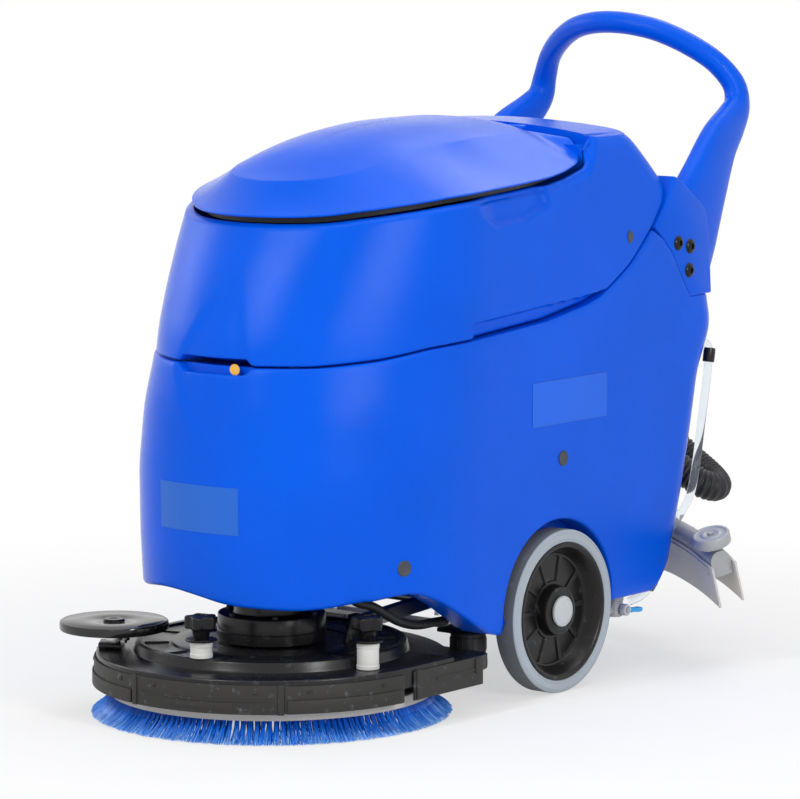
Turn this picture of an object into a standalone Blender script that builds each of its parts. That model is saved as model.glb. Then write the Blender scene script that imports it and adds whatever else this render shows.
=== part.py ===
"""Walk-behind scrubber dryer with one disc brush, as separate pieces that fit and move.

Metres, +Z up. Sizes and places below are measured from the brush's axis: +X is the machine's left, -Y its
front, and Z = 0 the floor. One empty then shifts the whole machine so that its box is centred over the origin.
The machine stands on its two wheels and its brush, with the squeegee raised for transport.
"""

import math

import bmesh
import bpy
from mathutils import Matrix, Vector

# ---- Overall sizes and the gaps between pieces
FRONT_Y = -0.2655  # brush tips, the foremost point
REAR_Y = 0.9466  # back of the handle's knees
FIT_GAP = 0.0004  # between pieces that touch
RUN_GAP = 0.0010  # between pieces that slide or turn on each other
WALL = 0.006  # moulded tank wall
BODY_HALF_WIDTH = 0.250

# ---- Wheels
WHEEL_Y = 0.369
WHEEL_RADIUS = 0.123
WHEEL_WIDTH = 0.038
WHEEL_OUTER_X = 0.259
TYRE_DEPTH = 0.019
HUB_CAP_RADIUS = 0.023
AXLE_RADIUS = 0.010
ARCH_CLEARANCE = 0.014

# ---- Brush and deck
BRUSH_TIP_RADIUS = 0.265
BRUSH_BLOCK_RADIUS = 0.238
BRUSH_BLOCK_Z = (0.030, 0.048)
DECK_RADIUS = 0.2565
DECK_SHOULDER_Y = 0.196
DECK_Z = (0.062, 0.092)
DECK_REAR_TOP_Z = 0.085
DECK_WALL = 0.004
DECK_DISC_RADIUS = 0.196
DECK_DISC_TOP_Z = 0.107
SKIRT_THICKNESS = 0.003
SKIRT_Z = (0.043, 0.086)
MOTOR_RADIUS = 0.080
MOTOR_TOP_Z = 0.205
MOTOR_SHAFT_RADIUS = 0.012
KNOB_PLACES = {"right": (0.024, -0.184), "left": (0.215, -0.042)}
KNOB_RADIUS = 0.024
KNOB_Z = (0.149, 0.172)
SPACER_RADIUS = 0.0165
SPACER_TOP_Z = 0.131
ROLLER_CENTRE = (-0.186, -0.137)
ROLLER_RADIUS = 0.080
ROLLER_Z = (0.118, 0.132)
LINK_PIVOT_CHASSIS = (0.300, 0.150)  # y, z
LINK_PIVOT_DECK = (0.060, 0.135)  # y, z
LINK_X = 0.120
LINK_HALF_WIDTH = 0.008
LINK_HALF_HEIGHT = 0.010
PIVOT_RADIUS = 0.006

# ---- Recovery tank and lid
TANK_PIVOT = (0.703, 0.762)  # y, z of the rear hinge
LID_PIVOT = (0.4945, 0.8240)
LID_THICKNESS = 0.005
LID_LIP = 0.012
LID_FRONT_Y = -0.0715
LID_REAR_Y = 0.478
LID_HALF_WIDTH = 0.2440
LID_SQUARENESS = 2.10
LID_REAR_TAPER = 0.10  # how much narrower the lid is at its rear edge
LID_TAPER_Y = 0.300  # where it starts to narrow
LID_SPINE_Y = (0.100, 0.400)  # the rings close in on this stretch of the centre line
LID_LEVELS = [0.0, 0.06, 0.20, 0.45, 0.75, 0.96]  # how far each ring is from the edge to the spine
LID_SHRINK_PER_M = 5.0  # share of the way to the spine that a metre of wall takes
LID_ROUNDNESS = 2.6
REAR_BLOCK_Y = 0.486
RIM_DROP = 0.012  # from the lid's edge down to the tank's rim
BOWL_REAR_Y = 0.462
HINGE_PIN_RADIUS = 0.004
LID_KNUCKLE_X = 0.085
LID_KNUCKLE_WIDTH = 0.028
TANK_LUG_X = 0.105
TANK_LUG_WIDTH = 0.016
TANK_EAR_X = 0.128

# ---- Battery bay
BAY_X = 0.176
BAY_Y = (0.000, 0.560)
BAY_FLOOR_Z = 0.285
BATTERY_SIZE = (0.340, 0.180, 0.230)

# ---- Squeegee, measured with the blades down on the floor
SQUEEGEE_PIVOT = (0.377, 0.160)
SQUEEGEE_LIFT_DEG = 20.0  # the pieces are built level, then raised by this
SQUEEGEE_HALF_WIDTH = 0.350
SQUEEGEE_CENTRE_Y = 0.770
SQUEEGEE_SWEEP = 0.128  # how far the tips lie ahead of the centre
SQUEEGEE_BODY_Z = (0.046, 0.088)
SQUEEGEE_BODY_HALF_DEPTH = 0.0265
SQUEEGEE_END_SHARE = 0.62  # the depth from SQUEEGEE_TAPER_X outwards, as a share of the centre's
SQUEEGEE_TAPER_X = 0.200
SQUEEGEE_STATION = 0.050
BLADE_TOP_Z = 0.068
BLADE_THICKNESS = 0.0035
BLADE_GAP = 0.0007
GUIDE_ROLLER_RADIUS = 0.029
GUIDE_ROLLER_X = 0.322
GUIDE_ROLLER_Z = (0.0925, 0.1105)
NOZZLE_RADIUS = 0.020
ARM_HALF_WIDTH = 0.024
HOSE_RADIUS = 0.0235
# The suction hose from above the nozzle up to the tank's back wall
VACUUM_HOSE_TOP = [
    (0.082, 0.822, 0.310), (0.138, 0.826, 0.284), (0.180, 0.838, 0.256), (0.192, 0.866, 0.248), (0.160, 0.896, 0.258),
    (0.108, 0.900, 0.290), (0.055, 0.882, 0.340), (0.012, 0.870, 0.400), (-0.018, 0.856, 0.452), (-0.028, 0.826, 0.482),
    (-0.028, 0.798, 0.484), (-0.028, 0.762, 0.484),
]

# ---- Rear pedal and squeegee lever
PEDAL_PIVOT = (0.560, 0.107)
PEDAL_X = -0.185
LIFT_PIVOT = (0.800, 0.350)
LIFT_X = -0.128

# ---- Handle
GRIP_RADIUS = 0.0175

# The lower edge line of the handle's base, as (y, z)
BASE_LINE = [(0.580, 0.6885), (0.605, 0.677), (0.631, 0.664), (0.653, 0.643), (0.682, 0.602), (0.706, 0.568), (0.840, 0.568)]
# The seam between the two tanks, as (y, z)
SEAM = [
    (-0.300, 0.5205), (-0.080, 0.5215), (0.000, 0.529), (0.076, 0.5405), (0.182, 0.548), (0.340, 0.560),
    (0.443, 0.577), (0.478, 0.588), (0.519, 0.610), (0.550, 0.628), (0.580, 0.653), (0.610, 0.680),
    (0.638, 0.713), (0.662, 0.756), (0.700, 0.830),
]
# The lid's lower edge, as (y, z)
LID_EDGE = [
    (-0.200, 0.727), (-0.060, 0.729), (0.000, 0.735), (0.115, 0.750), (0.233, 0.763), (0.355, 0.782),
    (0.429, 0.806), (LID_REAR_Y, 0.829),
]
# Level sections of the lower tank: z, front y, rear y, half width, squareness of the front
LOWER_SECTIONS = [
    (0.095, -0.148, 0.672, 0.243, 2.30), (0.118, -0.153, 0.678, 0.249, 2.35), (0.180, -0.158, 0.690, 0.250, 2.40),
    (0.260, -0.165, 0.716, 0.250, 2.40), (0.360, -0.167, 0.741, 0.250, 2.40), (0.450, -0.159, 0.760, 0.250, 2.30),
    (0.520, -0.147, 0.795, 0.250, 2.10), (0.570, -0.135, 0.782, 0.250, 2.05), (0.640, -0.120, 0.770, 0.250, 2.05),
    (0.760, -0.080, 0.760, 0.250, 2.00),
]
# Level sections of the upper tank
UPPER_SECTIONS = [
    (0.500, -0.150, 0.690, 0.251, 2.05), (0.560, -0.139, 0.690, 0.250, 2.05), (0.620, -0.115, 0.690, 0.249, 2.05),
    (0.680, -0.087, 0.690, 0.246, 2.05), (0.728, -0.060, 0.688, 0.243, 2.05), (0.764, -0.045, 0.656, 0.240, 2.05),
    (0.804, -0.030, 0.618, 0.235, 2.05), (0.826, -0.020, 0.598, 0.228, 2.05), (0.836, -0.010, 0.584, 0.217, 2.05),
]
FRONT_CURVE_END_Y = 0.200  # the front's curve meets the straight sides here
REAR_CORNER = 0.050

COLOURS = {
    "blue_plastic": ((0.010, 0.130, 0.760), 0.34, 0.0), "black_plastic": ((0.018, 0.018, 0.020), 0.45, 0.0),
    "grey_casting": ((0.530, 0.540, 0.550), 0.45, 0.3), "steel": ((0.620, 0.620, 0.630), 0.30, 1.0),
    "tyre_grey": ((0.400, 0.425, 0.450), 0.65, 0.0), "bristle_blue": ((0.030, 0.210, 0.800), 0.55, 0.0),
    "rubber": ((0.025, 0.025, 0.027), 0.70, 0.0), "clear_plastic": ((0.800, 0.840, 0.860), 0.10, 0.0),
    "white_plastic": ((0.800, 0.800, 0.780), 0.40, 0.0), "lever_blue": ((0.050, 0.400, 0.850), 0.40, 0.0),
    "battery_case": ((0.060, 0.060, 0.065), 0.50, 0.0), "blade_rubber": ((0.480, 0.460, 0.420), 0.60, 0.0),
    "button_green": ((0.050, 0.450, 0.150), 0.40, 0.0), "button_blue": ((0.050, 0.200, 0.700), 0.40, 0.0),
}


# ======== Scene, materials and placing ========

for old in list(bpy.data.objects):
    bpy.data.objects.remove(old, do_unlink=True)


def new_collection(name):
    made = bpy.data.collections.new(name)
    bpy.context.scene.collection.children.link(made)
    return made


PARTS = new_collection("walk_behind_scrubber_dryer")
CUTTERS = new_collection("cutters")


def new_empty(name, location, parent=None):
    empty = bpy.data.objects.new(name, None)
    PARTS.objects.link(empty)
    empty.parent = parent
    empty.location = location
    return empty


MACHINE = new_empty("machine", (0.0, -(FRONT_Y + REAR_Y) / 2, 0.0))
SQUEEGEE_CARRIER = new_empty("squeegee_carrier", (0.0, *SQUEEGEE_PIVOT), MACHINE)
SQUEEGEE_CARRIER.rotation_euler = (math.radians(SQUEEGEE_LIFT_DEG), 0.0, 0.0)


def material(name):
    if name in bpy.data.materials:
        return bpy.data.materials[name]
    colour, roughness, metallic = COLOURS[name]
    made = bpy.data.materials.new(name)
    made.use_nodes = True
    shader = made.node_tree.nodes["Principled BSDF"]
    shader.inputs["Base Color"].default_value = (*colour, 1.0)
    shader.inputs["Roughness"].default_value = roughness
    shader.inputs["Metallic"].default_value = metallic
    return made


def as_object(name, shape, collection=PARTS):
    """An object from a bmesh in machine coordinates, facing out."""
    bmesh.ops.recalc_face_normals(shape, faces=shape.faces)
    if shape.calc_volume(signed=True) < 0:
        bmesh.ops.reverse_faces(shape, faces=shape.faces)
    mesh = bpy.data.meshes.new(name)
    shape.to_mesh(mesh)
    shape.free()
    made = bpy.data.objects.new(name, mesh)
    collection.objects.link(made)
    made.parent = MACHINE
    return made


def finish(part, name, material_name, pivot=(0.0, 0.0, 0.0), parent=MACHINE):
    """Names a part, gives it its material and puts its origin on its joint's axis."""
    part.name = name
    part.data.materials.clear()
    part.data.materials.append(material(material_name))
    part.data.shade_smooth()
    part.data.set_sharp_from_angle(angle=math.radians(35))
    part.data.transform(Matrix.Translation(-Vector(pivot)))
    for modifier in part.modifiers:
        if modifier.type == "BOOLEAN":
            modifier.object.parent = parent
            modifier.object.data.transform(Matrix.Translation(-Vector(pivot)))
            modifier.object.location = Vector(pivot) - parent_point(parent)
    part.parent = parent
    part.location = Vector(pivot) - parent_point(parent)
    return part


def parent_point(parent):
    """Where the parent empty stands in machine coordinates, before it is raised."""
    return Vector((0.0, *SQUEEGEE_PIVOT)) if parent is SQUEEGEE_CARRIER else Vector()


def boolean(part, other, operation):
    other.hide_render = True
    other.display_type = "WIRE"
    if other.name not in CUTTERS.objects:
        for home in list(other.users_collection):
            home.objects.unlink(other)
        CUTTERS.objects.link(other)
    modifier = part.modifiers.new(operation.lower(), "BOOLEAN")
    modifier.operation = operation
    modifier.object = other
    return part


def cut(part, *others):
    for other in others:
        boolean(part, other, "DIFFERENCE")
    return part


def join(part, *others):
    for other in others:
        boolean(part, other, "UNION")
    return part


# ======== Shapes ========


def box(low, high, bevel=0.0):
    """A box between two corners, with its edges rounded by bevel."""
    shape = bmesh.new()
    bmesh.ops.create_cube(shape, size=1.0)
    size = Vector(high) - Vector(low)
    bmesh.ops.scale(shape, vec=size, verts=shape.verts)
    bmesh.ops.translate(shape, vec=(Vector(high) + Vector(low)) / 2, verts=shape.verts)
    if bevel:
        bmesh.ops.bevel(shape, geom=shape.edges, offset=bevel, segments=2, profile=0.5, affect="EDGES")
    return as_object("box", shape)


TURN_TO = {"X": Matrix.Rotation(math.radians(90), 4, "Y"), "Y": Matrix.Rotation(math.radians(-90), 4, "X"), "Z": Matrix()}


def cylinder(centre, radius, length, axis="Z", sides=16, bevel=0.0, top_radius=None):
    shape = bmesh.new()
    end_radius = radius if top_radius is None else top_radius
    bmesh.ops.create_cone(shape, cap_ends=True, segments=sides, radius1=radius, radius2=end_radius, depth=length)
    if bevel:
        rims = [edge for edge in shape.edges if len({round(v.co.z, 6) for v in edge.verts}) == 1]
        bmesh.ops.bevel(shape, geom=rims, offset=bevel, segments=2, profile=0.5, affect="EDGES")
    bmesh.ops.transform(shape, matrix=Matrix.Translation(centre) @ TURN_TO[axis], verts=shape.verts)
    return as_object("cylinder", shape)


def turned(centre, profile, axis="Z", steps=32, ring=False):
    """A profile of (radius, height) turned about an axis. It runs down the outside; a ring's profile closes on itself."""
    shape = bmesh.new()
    points = [shape.verts.new((radius, 0.0, height)) for radius, height in profile]
    edges = [shape.edges.new(pair) for pair in zip(points, points[1:])]
    if ring:
        edges.append(shape.edges.new((points[-1], points[0])))
    bmesh.ops.spin(
        shape, geom=points + edges, cent=(0, 0, 0), axis=(0, 0, 1), angle=math.tau, steps=steps, use_merge=True
    )
    bmesh.ops.remove_doubles(shape, verts=shape.verts, dist=1e-5)
    bmesh.ops.transform(shape, matrix=Matrix.Translation(centre) @ TURN_TO[axis], verts=shape.verts)
    return as_object("turned", shape)


def side_plate(outline, x_low, x_high):
    """A plate with a (y, z) outline, between two x planes."""
    return plate([(y, z, 0.0) for y, z in outline], x_high - x_low, Vector((x_low, 0.0, 0.0)), "YZX")


def flat_plate(outline, z_low, z_high):
    """A plate with an (x, y) outline, between two heights."""
    return plate([(x, y, 0.0) for x, y in outline], z_high - z_low, Vector((0.0, 0.0, z_low)), "XYZ")


def plate(outline, thickness, shift, order):
    """A flat outline as a filled 2D curve, made a mesh. Order says which axes its x, y and thickness lie along."""
    curve = bpy.data.curves.new("outline", "CURVE")
    curve.dimensions = "2D"
    curve.fill_mode = "BOTH"
    curve.extrude = thickness / 2
    spline = curve.splines.new("POLY")
    spline.points.add(len(outline) - 1)
    for point, place in zip(spline.points, outline):
        point.co = (*place, 1.0)
    spline.use_cyclic_u = True
    holder = bpy.data.objects.new("outline", curve)
    bpy.context.scene.collection.objects.link(holder)
    graph = bpy.context.evaluated_depsgraph_get()
    graph.update()
    mesh = bpy.data.meshes.new_from_object(holder.evaluated_get(graph))
    bpy.data.objects.remove(holder)
    shape = bmesh.new()
    shape.from_mesh(mesh)
    bmesh.ops.remove_doubles(shape, verts=shape.verts, dist=1e-5)
    for vertex in shape.verts:
        first, second, third = vertex.co.x, vertex.co.y, vertex.co.z + thickness / 2
        place = {order[0]: first, order[1]: second, order[2]: third}
        vertex.co = Vector((place["X"], place["Y"], place["Z"])) + shift
    return as_object("plate", shape)


def loft(rings):
    """A solid through rings of points, with its two ends filled."""
    shape = bmesh.new()
    rows = [[shape.verts.new(point) for point in ring] for ring in rings]
    for lower, upper in zip(rows, rows[1:]):
        for i in range(len(lower)):
            j = (i + 1) % len(lower)
            shape.faces.new((lower[i], lower[j], upper[j], upper[i]))
    shape.faces.new(rows[0])
    shape.faces.new(rows[-1])
    return as_object("loft", shape)


def smooth_path(points, steps):
    """Points on a smooth curve through the given ones."""
    places = [Vector(p) for p in points]
    ends = [places[0] * 2 - places[1], *places, places[-1] * 2 - places[-2]]
    path = []
    for a, b, c, d in zip(ends, ends[1:], ends[2:], ends[3:]):
        for step in range(steps):
            t = step / steps
            path.append(0.5 * (2 * b + (c - a) * t + (2 * a - 5 * b + 4 * c - d) * t**2 + (3 * b - a - 3 * c + d) * t**3))
    return path + [places[-1]]


def tube(points, radius, resolution=3):
    curve = bpy.data.curves.new("tube", "CURVE")
    curve.dimensions = "3D"
    curve.bevel_depth = radius
    curve.bevel_resolution = resolution
    curve.use_fill_caps = True
    spline = curve.splines.new("POLY")
    spline.points.add(len(points) - 1)
    for point, place in zip(spline.points, points):
        point.co = (*place, 1.0)
    holder = bpy.data.objects.new("tube", curve)
    bpy.context.scene.collection.objects.link(holder)
    graph = bpy.context.evaluated_depsgraph_get()
    graph.update()
    mesh = bpy.data.meshes.new_from_object(holder.evaluated_get(graph))
    bpy.data.objects.remove(holder)
    shape = bmesh.new()
    shape.from_mesh(mesh)
    bmesh.ops.remove_doubles(shape, verts=shape.verts, dist=1e-5)
    return as_object("tube", shape)


def height_on(line, y):
    """The height of a (y, z) line at y."""
    for (y0, z0), (y1, z1) in zip(line, line[1:]):
        if y <= y1:
            return z0 + (z1 - z0) * (y - y0) / (y1 - y0)
    return line[-1][1]


def section_outline(section, inset=0.0, front_steps=16, rear_steps=3):
    """A level section of a tank: curved front, straight sides and rounded rear corners."""
    z, front, rear, half_width, squareness = section
    depth = FRONT_CURVE_END_Y - front - inset
    width = half_width - inset
    corner = REAR_CORNER - min(inset, REAR_CORNER / 2)
    points = []
    for step in range(front_steps + 1):
        angle = math.pi * step / front_steps
        across = math.cos(angle)
        along = math.sin(angle)
        x = math.copysign(abs(across) ** (2 / squareness), across) * width
        y = FRONT_CURVE_END_Y - abs(along) ** (2 / squareness) * depth
        points.append((x, y, z))
    for centre_x, start in ((-(width - corner), 180), (width - corner, 90)):
        for step in range(rear_steps + 1):
            angle = math.radians(start - 90 * step / rear_steps)
            y = rear - inset - corner + corner * math.sin(angle)
            points.append((centre_x + corner * math.cos(angle), y, z))
    return points


def tank_blank(sections, inset=0.0):
    return loft([section_outline(section, inset) for section in sections])


def above(line, drop=0.0, high=1.2):
    """A cutter for everything above a (y, z) line."""
    outline = [(y, z - drop) for y, z in line] + [(line[-1][0], high), (line[0][0], high)]
    return side_plate(outline, -0.4, 0.4)


def below(line, rise=0.0, low=-0.2):
    """A cutter for everything below a (y, z) line."""
    outline = [(y, z + rise) for y, z in line] + [(line[-1][0], low), (line[0][0], low)]
    return side_plate(outline, -0.4, 0.4)


# ======== Lower tank, its frame and what it holds ========

# The tank's underside, as (y, z): front edge, dip behind the deck, and rear
UNDERSIDE = [(-0.200, 0.176), (-0.100, 0.180), (-0.070, 0.190), (0.010, 0.193), (0.080, 0.170), (0.151, 0.134),
             (0.235, 0.104), (0.420, 0.119), (0.840, 0.119)]
MOTOR_BAY_REAR_Y = 0.270
MOTOR_BAY_TOP_Z = 0.262
FRAME_Z = (0.094, 0.1186)
FRAME_Y = (0.273, 0.640)
FRAME_X = 0.150
MOUTH_X = 0.052
MOUTH_Z = (0.494, 0.540)
ARM_TUNNEL_X = 0.042
CAVITY_REAR_Y = 0.540
CAVITY_FLOOR_Z = 0.270


def arch_cutter(side):
    inner = WHEEL_OUTER_X - WHEEL_WIDTH - ARCH_CLEARANCE
    centre = (side * (inner + 0.10), WHEEL_Y, WHEEL_RADIUS)
    return cylinder(centre, WHEEL_RADIUS + ARCH_CLEARANCE, 0.20, "X", 40)


def solution_tank():
    tank = tank_blank(LOWER_SECTIONS)
    cut(tank, above(SEAM), above(BASE_LINE, FIT_GAP), below(UNDERSIDE), arch_cutter(1), arch_cutter(-1))
    bay = box((-BAY_X, BAY_Y[0], BAY_FLOOR_Z), (BAY_X, BAY_Y[1], 0.9))
    cavity = tank_blank(LOWER_SECTIONS, WALL)
    cavity_walls = [
        above(SEAM, WALL),
        above(BASE_LINE, WALL),
        box((-BAY_X - WALL, BAY_Y[0] - WALL, -0.1), (BAY_X + WALL, 1.0, 0.9)),
        box((-0.4, CAVITY_REAR_Y, -0.1), (0.4, 1.0, 0.9)),
        box((-0.4, -0.4, -0.1), (0.4, CAVITY_REAR_Y, CAVITY_FLOOR_Z)),
    ]
    cut(cavity, *cavity_walls)
    mouth = box((-MOUTH_X, -0.30, MOUTH_Z[0]), (MOUTH_X, -0.06, MOUTH_Z[1]))
    motor_bay = tank_blank(LOWER_SECTIONS, WALL)
    cut(motor_bay, box((-0.4, -0.4, MOTOR_BAY_TOP_Z), (0.4, 1.0, 1.2)), box((-0.4, MOTOR_BAY_REAR_Y, -0.1), (0.4, 1.0, 1.2)))
    tunnel = box((-ARM_TUNNEL_X, 0.330, 0.05), (ARM_TUNNEL_X, 0.90, 0.262))
    axle_slot = box((-0.215, WHEEL_Y - 0.018, 0.05), (0.215, WHEEL_Y + 0.018, 0.146))
    y, z = LIFT_PIVOT
    boss = box((LIFT_X - 0.036, 0.700, z - 0.018), (LIFT_X - 0.014, y + 0.014, z + 0.018), 0.003)
    join(tank, boss, cylinder((LIFT_X, y, z), PIVOT_RADIUS, 0.034, "X", 14))
    frame_room = box((-0.190, 0.250, 0.05), (0.190, 0.90, FRAME_Z[1] + FIT_GAP))
    link_room = box((-LINK_X - 0.030, 0.250, 0.05), (LINK_X + 0.030, LINK_PIVOT_CHASSIS[0] + 0.040, 0.190))
    cut(tank, bay, cavity, mouth, motor_bay, tunnel, axle_slot, frame_room, link_room)
    hose_end = VACUUM_HOSE_TOP[-1]
    cut(tank, cylinder(hose_end, HOSE_RADIUS + FIT_GAP, 0.100, "Y", 24))
    cut(tank, tube(smooth_path(LEVEL_TUBE, 1), LEVEL_TUBE_RADIUS + FIT_GAP, 2))
    return finish(tank, "solution_tank", "blue_plastic")


def chassis_frame():
    frame = box((-FRAME_X, FRAME_Y[0], FRAME_Z[0]), (-FRAME_X + 0.03, FRAME_Y[1], FRAME_Z[1]))
    pieces = [box((FRAME_X - 0.03, FRAME_Y[0], FRAME_Z[0]), (FRAME_X, FRAME_Y[1], FRAME_Z[1]))]
    for y in (FRAME_Y[0], 0.445, FRAME_Y[1] - 0.03):
        pieces.append(box((-FRAME_X, y, FRAME_Z[0]), (FRAME_X, y + 0.03, FRAME_Z[0] + 0.006)))
    axle_end = WHEEL_OUTER_X - 0.009
    pieces.append(cylinder((0, WHEEL_Y, WHEEL_RADIUS), AXLE_RADIUS, 2 * axle_end, "X", 16))
    for side in (-1, 1):
        x = side * LINK_X
        y, z = LINK_PIVOT_CHASSIS
        ear_x = sorted((x - side * (LINK_HALF_WIDTH + RUN_GAP), x - side * (LINK_HALF_WIDTH + RUN_GAP + 0.008)))
        foot = FRAME_Z[0] + 0.001
        pieces.append(side_plate([(y - 0.025, foot), (y + 0.030, foot), (y + 0.014, z + 0.012), (y - 0.012, z + 0.012)], *ear_x))
        pieces.append(cylinder((x, y, z), PIVOT_RADIUS, 2 * LINK_HALF_WIDTH + 0.010, "X", 14))
        y, z = SQUEEGEE_PIVOT
        ear_x = sorted((side * 0.030, side * 0.038))
        pieces.append(side_plate([(y - 0.03, foot), (y + 0.03, foot), (y + 0.014, z + 0.014), (y - 0.014, z + 0.014)], *ear_x))
    pieces.append(cylinder((0, *SQUEEGEE_PIVOT), PIVOT_RADIUS, 0.068, "X", 14))
    pin_ends = (PEDAL_X - 0.012, -FRAME_X + 0.004)
    pieces.append(cylinder((sum(pin_ends) / 2, *PEDAL_PIVOT), PIVOT_RADIUS, pin_ends[1] - pin_ends[0], "X", 14))
    join(frame, *pieces)
    return finish(frame, "chassis_frame", "steel")


def battery(name, y_low):
    width, depth, height = BATTERY_SIZE
    low = Vector((-width / 2, y_low, BAY_FLOOR_Z + FIT_GAP))
    case = box(low, low + Vector((width, depth, height)), 0.006)
    for x in (-0.12, 0.12):
        join(case, cylinder((x, y_low + 0.03, low.z + height + 0.005), 0.009, 0.016, sides=12))
    return finish(case, name, "battery_case")


# ======== Handle and controls ========

# Stations of the left arm and half the grip: x, y, z, half thickness across, half depth along the machine
HANDLE_STATIONS = [
    (0.2275, 0.690, 0.604, 0.0222, 0.082), (0.2260, 0.735, 0.672, 0.0220, 0.070), (0.2190, 0.786, 0.736, 0.0210, 0.053),
    (0.2080, 0.838, 0.791, 0.0200, 0.040), (0.1980, 0.890, 0.827, 0.0190, 0.031), (0.1920, 0.917, 0.853, 0.0185, 0.025),
    (0.1860, 0.917, 0.881, 0.0180, 0.0195), (0.1610, 0.897, 0.917, GRIP_RADIUS, GRIP_RADIUS),
    (0.1270, 0.876, 0.944, GRIP_RADIUS, GRIP_RADIUS), (0.0840, 0.856, 0.965, GRIP_RADIUS, GRIP_RADIUS),
    (0.0420, 0.844, 0.975, GRIP_RADIUS, GRIP_RADIUS),
]
HANDLE_TOP = (0.0, 0.840, 0.978, GRIP_RADIUS, GRIP_RADIUS)
RING_POINTS = 10
BRIDGE_X = 0.2056
BRIDGE_Y = (0.712, 0.760)
BRIDGE_Z = (0.5684, 0.735)
SCREW_PLACES = [(0.672, 0.652), (0.704, 0.645), (0.702, 0.608)]
SCREW_RADIUS = 0.0115


def handle_rings():
    right = [(-x, *rest) for x, *rest in HANDLE_STATIONS]
    stations = HANDLE_STATIONS + [HANDLE_TOP] + right[::-1]
    centres = [Vector(station[:3]) for station in stations]
    rings = []
    for i, station in enumerate(stations):
        before = centres[max(i - 1, 0)]
        after = centres[min(i + 1, len(centres) - 1)]
        forward = (after - before).normalized()
        across = Vector((1.0, 0.0, 0.0))
        if abs(forward.x) > 0.75:
            across = Vector((0.0, 0.0, 1.0)) if i < len(stations) / 2 else Vector((0.0, 0.0, -1.0))
        deep = forward.cross(across).normalized()
        across = deep.cross(forward).normalized()
        ring = []
        for step in range(RING_POINTS):
            angle = math.tau * (step + 0.5) / RING_POINTS
            round_x = math.copysign(abs(math.cos(angle)) ** 0.7, math.cos(angle))
            round_y = math.copysign(abs(math.sin(angle)) ** 0.7, math.sin(angle))
            ring.append(centres[i] + across * round_x * station[3] + deep * round_y * station[4])
        rings.append(ring)
    return rings


def matched(rings):
    """Turns each ring's points so that they line up with the ring before."""
    lined = [rings[0]]
    for ring in rings[1:]:
        last = lined[-1]
        count = len(ring)
        options = [ring[k:] + ring[:k] for k in range(count)]
        options += [option[::-1] for option in options]
        lined.append(min(options, key=lambda option: sum((a - b).length for a, b in zip(option, last))))
    return lined


def handle():
    loop = loft(matched(handle_rings()))
    base_cut = below(BASE_LINE)
    pads = []
    for side in (-1, 1):
        x = sorted((side * 0.2058, side * BODY_HALF_WIDTH))
        seam_side = [(y + 2 * FIT_GAP, z) for y, z in SEAM if 0.605 < y < 0.670]
        outline = [point for point in BASE_LINE if 0.61 < point[0] < 0.71] + [(0.752, 0.568), (0.756, 0.640), (0.748, 0.700)]
        pads.append(side_plate(outline + [(0.690, 0.742)] + seam_side[::-1], *x))
    bridge = box((-BRIDGE_X, BRIDGE_Y[0], BRIDGE_Z[0]), (BRIDGE_X, BRIDGE_Y[1], BRIDGE_Z[1]))
    pieces = pads + [bridge]
    y, z = TANK_PIVOT
    for side in (-1, 1):
        x = sorted((side * TANK_EAR_X, side * (TANK_EAR_X + 0.014)))
        pieces.append(side_plate([(y - 0.012, z - 0.04), (y + 0.03, z - 0.06), (y + 0.012, z + 0.012), (y - 0.012, z + 0.012)], *x))
    join(loop, *pieces)
    cut(loop, base_cut)
    for side in (-1, 1):
        for place in SCREW_PLACES:
            hole = (side * (BODY_HALF_WIDTH - 0.004), *place)
            cut(loop, cylinder(hole, 0.0045, 0.030, "X", 10))
    cut(loop, cylinder((0, y, z), HINGE_PIN_RADIUS + FIT_GAP, 0.40, "X", 14))
    cut(loop, box((-PANEL_X, BRIDGE_Y[1] - PANEL_DEPTH, PANEL_Z[0]), (PANEL_X, BRIDGE_Y[1] + 0.01, PANEL_Z[1])))
    return finish(loop, "handle", "blue_plastic")


PANEL_X = 0.120
PANEL_Z = (0.600, 0.722)
PANEL_DEPTH = 0.020
KEY_PLACE = (0.085, 0.690)
BUTTON_PLACES = {"brush_button": (0.030, 0.690, "button_green"), "vacuum_button": (-0.030, 0.690, "button_blue")}
BUTTON_RADIUS = 0.0115
BUTTON_TRAVEL = 0.002


def control_panel():
    low = (-PANEL_X + FIT_GAP, BRIDGE_Y[1] - PANEL_DEPTH + FIT_GAP, PANEL_Z[0] + FIT_GAP)
    panel = box(low, (PANEL_X - FIT_GAP, BRIDGE_Y[1] + 0.004, PANEL_Z[1] - FIT_GAP), 0.002)
    back = BRIDGE_Y[1] + 0.004
    for x, z, _ in BUTTON_PLACES.values():
        cut(panel, cylinder((x, back, z), BUTTON_RADIUS + 0.0005, 0.018, "Y", 20))
    x, z = KEY_PLACE
    cut(panel, cylinder((x, back, z), 0.0095, 0.018, "Y", 20))
    y = back - 0.002
    gauge_frame = box((-0.09, y, 0.618), (-0.02, back + 0.003, 0.640), 0.001)
    return finish(join(panel, gauge_frame), "control_panel", "black_plastic")


def button(name):
    x, z, colour = BUTTON_PLACES[name]
    back = BRIDGE_Y[1] + 0.004
    floor = back - 0.009 + BUTTON_TRAVEL + 0.0006
    body = cylinder((x, (floor + back + 0.0045) / 2, z), BUTTON_RADIUS, back + 0.0045 - floor, "Y", 20)
    return finish(body, name, colour)


def key_switch():
    x, z = KEY_PLACE
    back = BRIDGE_Y[1] + 0.004
    barrel = cylinder((x, back - 0.002, z), 0.009, 0.012, "Y", 20)
    join(barrel, box((x - 0.0015, back, z - 0.009), (x + 0.0015, back + 0.028, z + 0.009), 0.0005))
    return finish(barrel, "key_switch", "steel", (x, back, z))


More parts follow.
